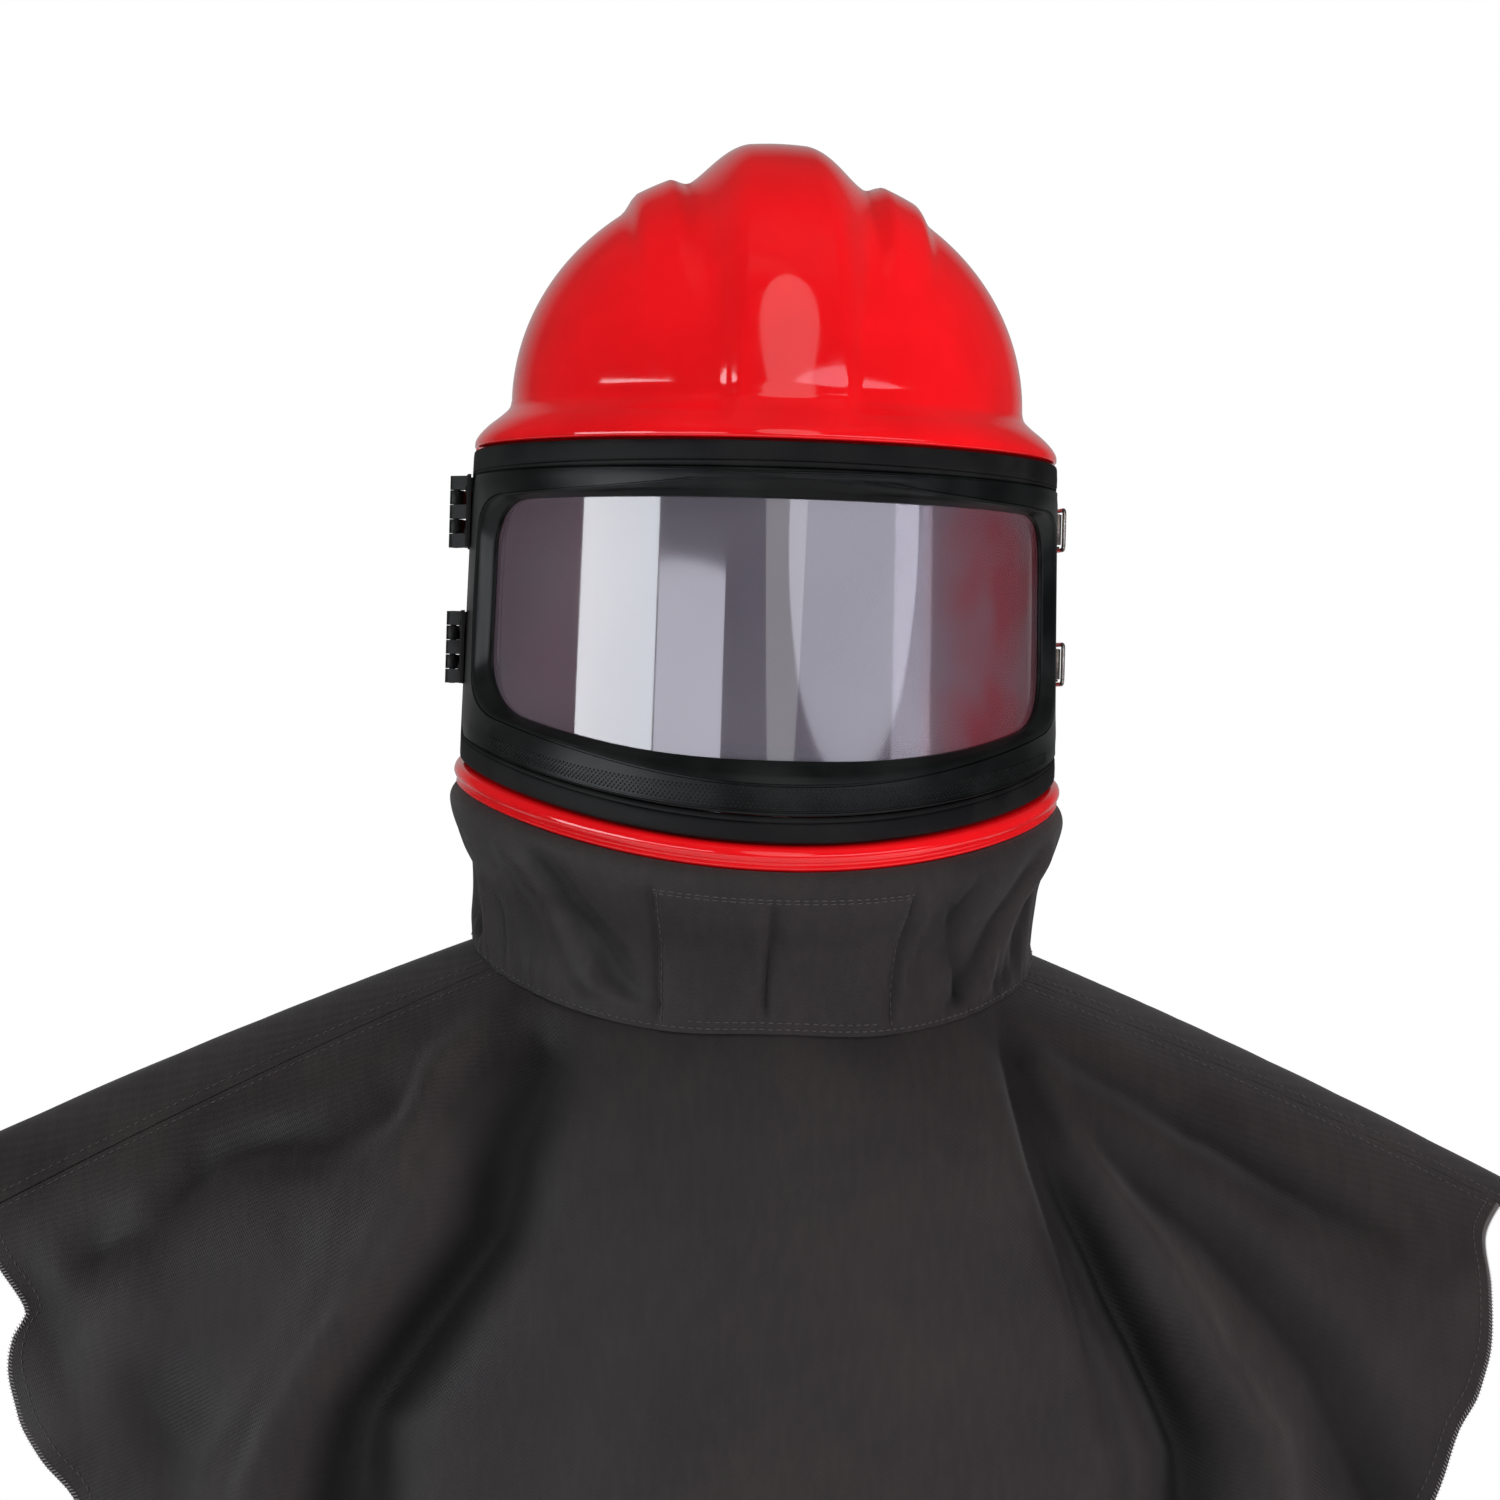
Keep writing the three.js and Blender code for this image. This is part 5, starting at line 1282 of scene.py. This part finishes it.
def latch_frame(level):
    """A frame on the wall: back runs along it away from the face, and height stands out from it."""
    seat = beside_wall(1, LATCH_SETBACK, level - LATCH_HALF_WIDTH, 0)
    normal = beside_wall(1, LATCH_SETBACK, level - LATCH_HALF_WIDTH, 1) - seat

    def place(back, height):
        return seat + np.array((-normal[1], normal[0])) * back + normal * height

    pivot = place(-LATCH_PIVOT_LEAD, LATCH_PIVOT_HEIGHT)
    return place, pivot, place(BAIL_THROW - LATCH_PIVOT_LEAD, LATCH_PIVOT_HEIGHT - BAIL_PIVOT_DROP)


def latch_base(level, place, pivot):
    start, end = -LATCH_LENGTH / 2 - LATCH_EAR_WALL, LATCH_LENGTH / 2 - LATCH_EAR_WALL
    plate = [place(start, SEAT_GAP), place(end, SEAT_GAP),
             place(end, SEAT_GAP + LATCH_PLATE), place(start, SEAT_GAP + LATCH_PLATE)]
    ear = [place(LATCH_EAR_HALF * share - LATCH_PIVOT_LEAD, height) for share, height in (
        (-1, SEAT_GAP), (1, SEAT_GAP), (0.8, LATCH_PIVOT_HEIGHT),
        (0.45, LATCH_PIVOT_HEIGHT + 0.7 * LATCH_EAR_HALF),
        (-0.45, LATCH_PIVOT_HEIGHT + 0.7 * LATCH_EAR_HALF), (-0.8, LATCH_PIVOT_HEIGHT))]
    solids = [prism(plate, level - LATCH_HALF_WIDTH, level + LATCH_HALF_WIDTH)]
    widths = LATCH_HALF_WIDTH, LATCH_HALF_WIDTH - LATCH_EAR_WALL
    for side in (-1, 1):
        solids.append(prism(ear, *sorted(level + side * width for width in widths)))
    pin = round_outline(pivot, LATCH_PIN)
    return [*solids, prism(pin, level - LATCH_HALF_WIDTH, level + LATCH_HALF_WIDTH)], []


def latch_lever(level, place, pivot, bail_pivot):
    top = LATCH_PIVOT_HEIGHT + LEVER_RISE
    start, end = -LATCH_PIVOT_LEAD, LEVER_LENGTH - LATCH_PIVOT_LEAD
    # The finger tip curls up in one smooth bend
    share = np.linspace(0, 1, 9)
    curl = LEVER_RISE * share * share * (3 - 2 * share)
    under = [place(end - LEVER_TIP * (1 - s), top - LEVER_PLATE + c) for s, c in zip(share, curl)]
    over = [place(end - 1.08 * LEVER_TIP * (1 - s), top + c) for s, c in zip(share, curl)]
    body = [place(start, top - 1.5 * LEVER_PLATE), place(start + LEVER_TIP, top - LEVER_PLATE), *under,
            *over[::-1], place(start, top)]
    web = [pivot, bail_pivot, place(start + BAIL_THROW, top), place(start, top)]
    low, high = level - LEVER_HALF_WIDTH, level + LEVER_HALF_WIDTH
    solids = [prism(body, low, high), prism(web, low, high),
              prism(round_outline(pivot, 1.8 * LATCH_BORE), low, high),
              prism(round_outline(bail_pivot, 2 * BAIL_WIRE), low, high)]
    cuts = [prism(round_outline(pivot, LATCH_BORE), low - 1, high + 1),
            prism(round_outline(bail_pivot, 1.28 * BAIL_WIRE), low - 1, high + 1)]
    return solids, cuts


def keeper_crest(level):
    return beside_wall(1, -BAIL_REACH, level - BAIL_HALF_WIDTH, KEEPER_HOOK)


def latch_keeper(level):
    low, high = level - KEEPER_HALF_WIDTH, level + KEEPER_HALF_WIDTH
    front, below = -BAIL_REACH - KEEPER_LEAD, level - BAIL_HALF_WIDTH
    strip = wall_strip(1, front, front + KEEPER_LENGTH, below, KEEPER_SEAT, KEEPER_THICKNESS)
    crest = keeper_crest(level)
    hook = [beside_wall(1, -BAIL_REACH - 0.75 * KEEPER_HOOK, below, 1.25 * KEEPER_SEAT),
            crest + (0, -KEEPER_CREST_HALF), crest + (0, KEEPER_CREST_HALF),
            crest + (-0.06 * KEEPER_HOOK, 0.63 * KEEPER_HOOK),
            beside_wall(1, -BAIL_REACH + 1.06 * KEEPER_HOOK, below, 1.25 * KEEPER_SEAT)]
    return [prism(strip, low, high), prism(hook, low, high)], []


def bail_rings(level, bail_pivot):
    """The wire loop as rings along a path with rounded corners."""
    crest = keeper_crest(level)
    bar = crest + (BAIL_WIRE + BAIL_CLEAR, 0)
    slope = (bar - bail_pivot) / np.linalg.norm(bar - bail_pivot)
    corners = [(*bail_pivot, level + 0.72 * LEVER_HALF_WIDTH), (*bail_pivot, level + BAIL_HALF_WIDTH),
               (*bar, level + BAIL_HALF_WIDTH), (*bar, level - BAIL_HALF_WIDTH),
               (*bail_pivot, level - BAIL_HALF_WIDTH), (*bail_pivot, level - 0.72 * LEVER_HALF_WIDTH)]
    corners = np.array(corners)
    path = [corners[0]]
    bends = (1.2, 2.4, 2.4, 1.2)
    for before, corner, after, bend in zip(corners, corners[1:], corners[2:], bends):
        come = corner + bend * (before - corner) / np.linalg.norm(before - corner)
        leave = corner + bend * (after - corner) / np.linalg.norm(after - corner)
        path += [come * (1 - t) ** 2 + 2 * corner * t * (1 - t) + leave * t * t
                 for t in np.linspace(0, 1, 9)]
    path = np.array([*path, corners[-1]])
    along = np.gradient(path, axis=0)
    along /= np.linalg.norm(along, axis=1, keepdims=True)
    flat = np.array((-slope[1], slope[0], 0.0))
    turns = np.linspace(0, 2 * math.pi, 17)[:-1][None, :, None]
    across = np.cross(along, flat)[:, None]
    return path[:, None] + BAIL_WIRE * (flat * np.cos(turns) + across * np.sin(turns)), path


def build_hardware(settings):
    paint = coated_steel(settings.paint_colour, settings.paint_shade)
    steel = zinc_plate("Zinc-plated spring steel", settings.steel_colour, settings.steel_shade)
    bright = zinc_plate("Bright zinc-plated wire", settings.wire_colour, settings.wire_shade)
    edge = settings.edge_round / MM
    for name, row in (("upper", 0), ("lower", 1)):
        level = FLANGE_LEVEL - HARDWARE_DROP - row * HARDWARE_SPACING
        build_hinge(name, level, paint, edge)
        place, pivot, bail_pivot = latch_frame(level)
        for kind, solid, body in (("base", latch_base(level, place, pivot), "hood"),
                                  ("lever", latch_lever(level, place, pivot, bail_pivot), f"{name}_lever"),
                                  ("keeper", latch_keeper(level), "window")):
            piece = forged(f"{name}_{kind}", *solid, steel, edge)
            carried(piece, body, f"latch_{kind}_{name}", "steel")
        rings, path = bail_rings(level, bail_pivot)
        bail = new_piece(f"{name}_bail", *ring_mesh(rings, poles=(path[0], path[-1])), bright)
        carried(bail, f"{name}_bail", f"latch_bail_{name}", "steel")


# Collar and cape
def seam_path(front, side, inset):
    """Points and normals beside the shoulder seam, from the neck to the tip."""
    neck = abs(neck_edge(np.array([neck_seam_angle(side)]))[0][0])
    share = np.linspace(0.02, 0.985, 90)
    x = side * lerp(neck, CAPE_HALF_SPAN, share)
    fall = seam_fall_at(x) + (inset if front else -inset)
    return cape_points(front, x, fall, share, 0.25 + 0 * x), cape_normal(x, fall)


def hem_path(front, inset, ends=(0.006, 0.994)):
    """Points and normals along a panel's free edge, at a distance in from it."""
    rays = np.linspace(*ends, 420)
    x, fall, share = cape_grid(front, rays, [1 - inset / 420])
    x, fall, share = x[:, 0], fall[:, 0], share[:, 0]
    return cape_points(front, x, fall, share, 0.25 + 0 * x), cape_normal(x, fall)


def collar_path(theta, down):
    theta, down = np.broadcast_arrays(np.asarray(theta, float), np.asarray(down, float))
    points = collar_points(theta, down, 0.25)
    across = collar_points(theta + 0.01, down, 0) - collar_points(theta - 0.01, down, 0)
    along = collar_points(theta, np.minimum(down + 0.01, 1), 0) - collar_points(theta, down - 0.01, 0)
    normal = np.cross(along, across)
    return points, normal / np.linalg.norm(normal, axis=-1, keepdims=True)


def thread_lines(name, paths, material, size_mm, spacing_mm, turn=0.0):
    ends = np.cumsum([len(points) for points, _ in paths]) - 1
    return bead_row(name, np.concatenate([points for points, _ in paths]),
                    np.concatenate([lifts for _, lifts in paths]), material, size_mm, spacing_mm, turn,
                    breaks=set(ends.tolist()))


def build_cloth(settings):
    cloth = woven_cloth("Coated polyester cloth", settings.cloth_colour, settings.cloth_shade,
                        settings.cloth_fold_shade, settings.yarn_pitch / MM)
    thread = sewing_thread("Charcoal sewing thread", settings.thread_colour, settings.thread_shade)
    edging = sewing_thread("Grey overlock thread", settings.edging_colour, settings.edging_shade)
    stitch = (settings.stitch_length / MM, 0.55, 0.4)
    pitch = settings.stitch_pitch / MM

    collar = collar_mesh(cloth)
    around = np.linspace(-math.pi, math.pi, 420)
    patch = np.radians(np.linspace(-22.6, 24.2, 90))
    tall = np.linspace(0.2, 0.93, 40)
    collar_lines = [collar_path(patch, 0.17), collar_path(patch, 0.19), collar_path(patch[12:-8], 0.93),
                    collar_path(np.radians(-22.2), tall), collar_path(np.radians(23.9), tall),
                    collar_path(around, 0.97)]
    collar_thread = thread_lines("collar_stitching", collar_lines, thread, stitch, pitch)
    pieces = [(collar, "collar"), (collar_thread, "collar")]

    for front, node, flat, area in ((True, "cape_front", (0.72, 0.6), 0.33),
                                    (False, "cape_back", (0.72, 0.64), 0.36)):
        panel = cape_panel(node.replace("cape", "panel"), front, cloth)
        label = node.replace("cape_", "")
        lines = [seam_path(front, -1, 3.2), seam_path(front, 1, 3.2), hem_path(front, 11)]
        sewn = thread_lines(f"{label}_stitching", lines, thread, stitch, pitch)
        bound = thread_lines(f"{label}_overlock", [hem_path(front, 1.4)], edging, (3.4, 0.6, 0.5),
                             1.5, math.radians(62))
        pieces += [(panel, node), (sewn, node), (bound, node)]
    for piece, node in pieces:
        carried(piece, "hood", node, "cloth")


# Stage
def soft_light(name, azimuth, elevation, distance, size, power, colour, mirrored, shape):
    """An area light round the object. Azimuth 0 is in front and positive towards +X, in degrees. One
     that isn't mirrored is hidden from glossy rays and leaves no highlight on gloss."""
    light = bpy.data.lights.new(name, "AREA")
    light.shape = shape
    light.size, light.size_y = size
    light.energy = power
    light.color = linear(colour)[:3]
    lamp = in_scene(name, light)
    a, e = math.radians(azimuth), math.radians(elevation)
    offset = Vector((math.sin(a) * math.cos(e), -math.cos(a) * math.cos(e), math.sin(e))) * distance
    lamp.location = Vector((0, 0, LIGHT_LEVEL)) + offset
    lamp.visible_glossy = mirrored
    lamp.rotation_euler = offset.to_track_quat("Z", "Y").to_euler()


def build_stage(settings):
    level = -(CAPE_BOTTOM + FLOOR_DROP)
    rim = np.column_stack([round_outline((0, 0), FLOOR_RADIUS, 96), np.full(96, level)])
    points, faces = ring_mesh([rim, rim - (0, 0, FLOOR_THICKNESS)],
                              poles=((0, 0, level), (0, 0, level - FLOOR_THICKNESS)))
    new_piece("floor", points, faces, studio_floor(settings.floor_colour))

    # The first two and the last one stand where the visor mirrors them: two upright bands and a wide patch
    for light in (
            ("left_softbox", -70.5, 1.5, 2.3, (1.52, 0.8), settings.key_power, "#F4FAFF", True,
             "RECTANGLE"),
            ("low_panel", -37, 0.4, 2.3, (1.19, 0.46), settings.panel_power, "#F2F2FF", True, "RECTANGLE"),
            ("front_softbox", 3, 25, 2.7, (1.2, 2.6), settings.front_power, "#FFFFFF", True, "ELLIPSE"),
            ("top_softbox", -4, 70, 2.2, (2.2, 1.6), settings.top_power, "#FFFFFF", False, "RECTANGLE"),
            ("side_softbox", 62, -4, 2.4, (0.8, 1.0), settings.side_power, "#F7F7FF", False, "RECTANGLE"),
            ("right_panel", 34, 7.7, 2.3, (2.6, 0.5), settings.wide_power, "#F0F0FF", True, "ELLIPSE")):
        soft_light(*light)

    world = bpy.data.worlds.new("White studio")
    bpy.context.scene.world = world
    world.use_nodes = True
    tree = world.node_tree
    tree.nodes.clear()
    rays = add_node(tree, "ShaderNodeLightPath").outputs
    # The room is bright behind the object and dark in front of it, and plain white where it is seen
    place = add_node(tree, "ShaderNodeTexCoord").outputs["Generated"]
    toward = add_node(tree, "ShaderNodeSeparateXYZ", {0: place}).outputs[1]
    bright = spread_value(tree, toward, settings.front_room, settings.back_room, 0.78, 1.0)
    seen = add_node(tree, "ShaderNodeMix", {0: rays["Is Camera Ray"], 2: bright, 3: 1.0})
    back = add_node(tree, "ShaderNodeBackground", {"Color": (1, 1, 1, 1), "Strength": seen.outputs[0]})
    add_node(tree, "ShaderNodeOutputWorld", {"Surface": back.outputs[0]})

    azimuth, roll = math.radians(CAMERA_AZIMUTH), math.radians(CAMERA_ROLL)
    ahead = Vector((-math.sin(azimuth), math.cos(azimuth), 0))
    right = Vector((math.cos(azimuth), math.sin(azimuth), 0))
    up = Vector((0, 0, 1))
    target = Vector((0, 0, CAMERA_LEVEL)) + right * CAMERA_SHIFT
    turned_right = right * math.cos(roll) + up * math.sin(roll)
    turned_up = up * math.cos(roll) - right * math.sin(roll)
    camera = in_scene("camera", bpy.data.cameras.new("camera"))
    basis = Matrix((turned_right, turned_up, -ahead)).transposed().to_4x4()
    camera.matrix_world = Matrix.Translation(target - ahead * CAMERA_DISTANCE) @ basis
    camera.data.sensor_width = 36
    camera.data.lens = CAMERA_LENS_MM
    camera.data.clip_end = 20
    bpy.context.scene.camera = camera
    bpy.context.scene.view_settings.view_transform = "Standard"


def colour_property(name, description, colour):
    return FloatVectorProperty(name=name, description=description, subtype="COLOR", size=4, min=0, max=1,
                               default=linear(colour))


def length_property(name, description, metres):
    return FloatProperty(name=name, description=description, subtype="DISTANCE", unit="LENGTH",
                         min=0, default=metres)


def power_property(name, description, watts):
    return FloatProperty(name=name, description=description, unit="POWER", min=0, default=watts)


def glow_property(name, description, strength):
    return FloatProperty(name=name, description=description, default=strength)


class HelmetSettings(PropertyGroup):
    shell_colour: colour_property("Shell colour", "Main colour of the lacquered shell", "#EC1017")
    shell_shade: colour_property("Shell shade", "Slightly deeper colour that drifts through it", "#DA0C13")


class WindowSettings(PropertyGroup):
    frame_colour: colour_property("Frame colour", "Colour of the rigid window ring", "#0A0B0B")
    frame_shade: colour_property("Frame shade", "Greyer colour on its edges and handled places", "#1C1E1D")
    rubber_colour: colour_property("Rubber colour", "Colour of the rubber strip", "#0C0C0D")
    rubber_shade: colour_property("Rubber shade", "Dusty bloom on the rubber strip", "#1F1F1E")
    lens_tint: colour_property("Visor tint", "Smoky tint of the visor", "#87828E")
    lens_haze: colour_property("Visor haze", "Paler tint where the visor is hazy", "#97929C")
    # Painted light: the red of the shell as seen through the visor's ends, painted into its colour
    lens_painted_shell_red: colour_property("Visor ends", "Tint where the red shell shows through", "#A04A56")
    knurl_pitch: length_property("Grip dot spacing", "Distance between dots on the lower bar", 0.0019)


class HardwareSettings(PropertyGroup):
    paint_colour: colour_property("Hinge paint", "Colour of the hinges' powder coat", "#0A0A0A")
    paint_shade: colour_property("Hinge paint, rubbed", "Greyer colour on rubbed edges", "#1A1A19")
    steel_colour: colour_property("Latch steel", "Colour of the latch plates", "#8F877E")
    steel_shade: colour_property("Latch steel, dull", "Duller colour in blooms on the plates", "#6E665E")
    wire_colour: colour_property("Wire", "Colour of the wire loops", "#C9C4BD")
    wire_shade: colour_property("Wire, dull", "Duller colour on the wire", "#9C958D")
    edge_round: length_property("Edge rounding", "Radius on the edges of plates and knuckles", 0.00022)


class ClothSettings(PropertyGroup):
    cloth_colour: colour_property("Cloth colour", "Main colour of collar and cape", "#231F1F")
    cloth_shade: colour_property("Cloth shade", "Lighter colour of its slubs and rubbed places", "#35302E")
    # Painted shade: the colour painted deep in the folds of collar and cape, where shade falls
    cloth_fold_shade: colour_property("Cloth in folds", "Colour deep in its folds", "#0B0909")
    thread_colour: colour_property("Thread colour", "Colour of the seam stitches", "#2A2625")
    thread_shade: colour_property("Thread shade", "Lighter colour along the thread's twist", "#4A4543")
    edging_colour: colour_property("Edging colour", "Colour of the overlocked edges", "#5E5A58")
    edging_shade: colour_property("Edging shade", "Lighter colour along the edging's twist", "#8C8784")
    yarn_pitch: length_property("Yarn spacing", "Distance between the drawn yarns", 0.0016)
    stitch_length: length_property("Stitch length", "Length of one stitch", 0.0026)
    stitch_pitch: length_property("Stitch spacing", "Distance from one stitch to the next", 0.0036)


class StageSettings(PropertyGroup):
    floor_colour: colour_property("Floor colour", "Second tone of the floor", "#EDECEA")
    key_power: power_property("Left softbox", "Power of the softbox on the left", 22)
    panel_power: power_property("Low panel", "Power of the low panel beside the left softbox", 6.2)
    front_power: power_property("Front softbox", "Power of the high softbox in front", 9)
    top_power: power_property("Top softbox", "Power of the softbox overhead", 32)
    side_power: power_property("Right softbox", "Power of the softbox on the right", 42)
    wide_power: power_property("Right panel", "Power of the wide panel on the right", 8)
    front_room: glow_property("Front of the room", "Brightness of the room in front", 0.06)
    back_room: glow_property("Back of the room", "Brightness of the room behind", 0.4)


class HOOD_OT_helmet(Operator):
    """Build the helmet shell"""
    bl_idname = "hood.helmet"
    bl_label = "Helmet"

    def execute(self, context):
        build_helmet(context.scene.hood_helmet)
        return {"FINISHED"}


class HOOD_OT_window(Operator):
    """Build the window ring, its rubber strip, its grip band and the visor"""
    bl_idname = "hood.window"
    bl_label = "Window"

    def execute(self, context):
        build_window(context.scene.hood_window)
        return {"FINISHED"}


class HOOD_OT_hardware(Operator):
    """Build the two hinges and the two draw latches"""
    bl_idname = "hood.hardware"
    bl_label = "Hinges and latches"

    def execute(self, context):
        build_hardware(context.scene.hood_hardware)
        return {"FINISHED"}


class HOOD_OT_cloth(Operator):
    """Build the collar, the two cape panels and their stitching"""
    bl_idname = "hood.cloth"
    bl_label = "Collar and cape"

    def execute(self, context):
        build_cloth(context.scene.hood_cloth)
        return {"FINISHED"}


class HOOD_OT_stage(Operator):
    """Set up the floor, the soft lights, the white room and the camera"""
    bl_idname = "hood.stage"
    bl_label = "Stage"

    def execute(self, context):
        build_stage(context.scene.hood_stage)
        return {"FINISHED"}


class HOOD_PT_panel(Panel):
    """Sizes and colours of the hood, and the steps that build it"""
    bl_idname = "HOOD_PT_panel"
    bl_label = "Sandblasting hood"
    bl_space_type = "VIEW_3D"
    bl_region_type = "UI"
    bl_category = "Hood"

    def draw(self, context):
        for name, operators in STEPS:
            box = self.layout.box()
            settings = getattr(context.scene, name)
            for key in settings.__annotations__:
                box.prop(settings, key)
            for operator in operators:
                box.operator(operator)


GROUPS = {"hood_helmet": HelmetSettings, "hood_window": WindowSettings, "hood_hardware": HardwareSettings,
          "hood_cloth": ClothSettings, "hood_stage": StageSettings}
STEPS = (("hood_helmet", ("hood.helmet",)), ("hood_window", ("hood.window",)),
         ("hood_hardware", ("hood.hardware",)), ("hood_cloth", ("hood.cloth",)),
         ("hood_stage", ("hood.stage",)))
CLASSES = (*GROUPS.values(), HOOD_OT_helmet, HOOD_OT_window, HOOD_OT_hardware, HOOD_OT_cloth,
           HOOD_OT_stage, HOOD_PT_panel)


def register():
    for each in CLASSES:
        bpy.utils.register_class(each)
    for name, group in GROUPS.items():
        setattr(bpy.types.Scene, name, PointerProperty(type=group))


def unregister():
    for name in GROUPS:
        delattr(bpy.types.Scene, name)
    for each in reversed(CLASSES):
        bpy.utils.unregister_class(each)


def main():
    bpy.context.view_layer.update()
    register()
    bpy.ops.hood.helmet()
    bpy.ops.hood.window()
    bpy.ops.hood.hardware()
    bpy.ops.hood.cloth()
    bpy.ops.hood.stage()


if __name__ == "__main__":
    main()
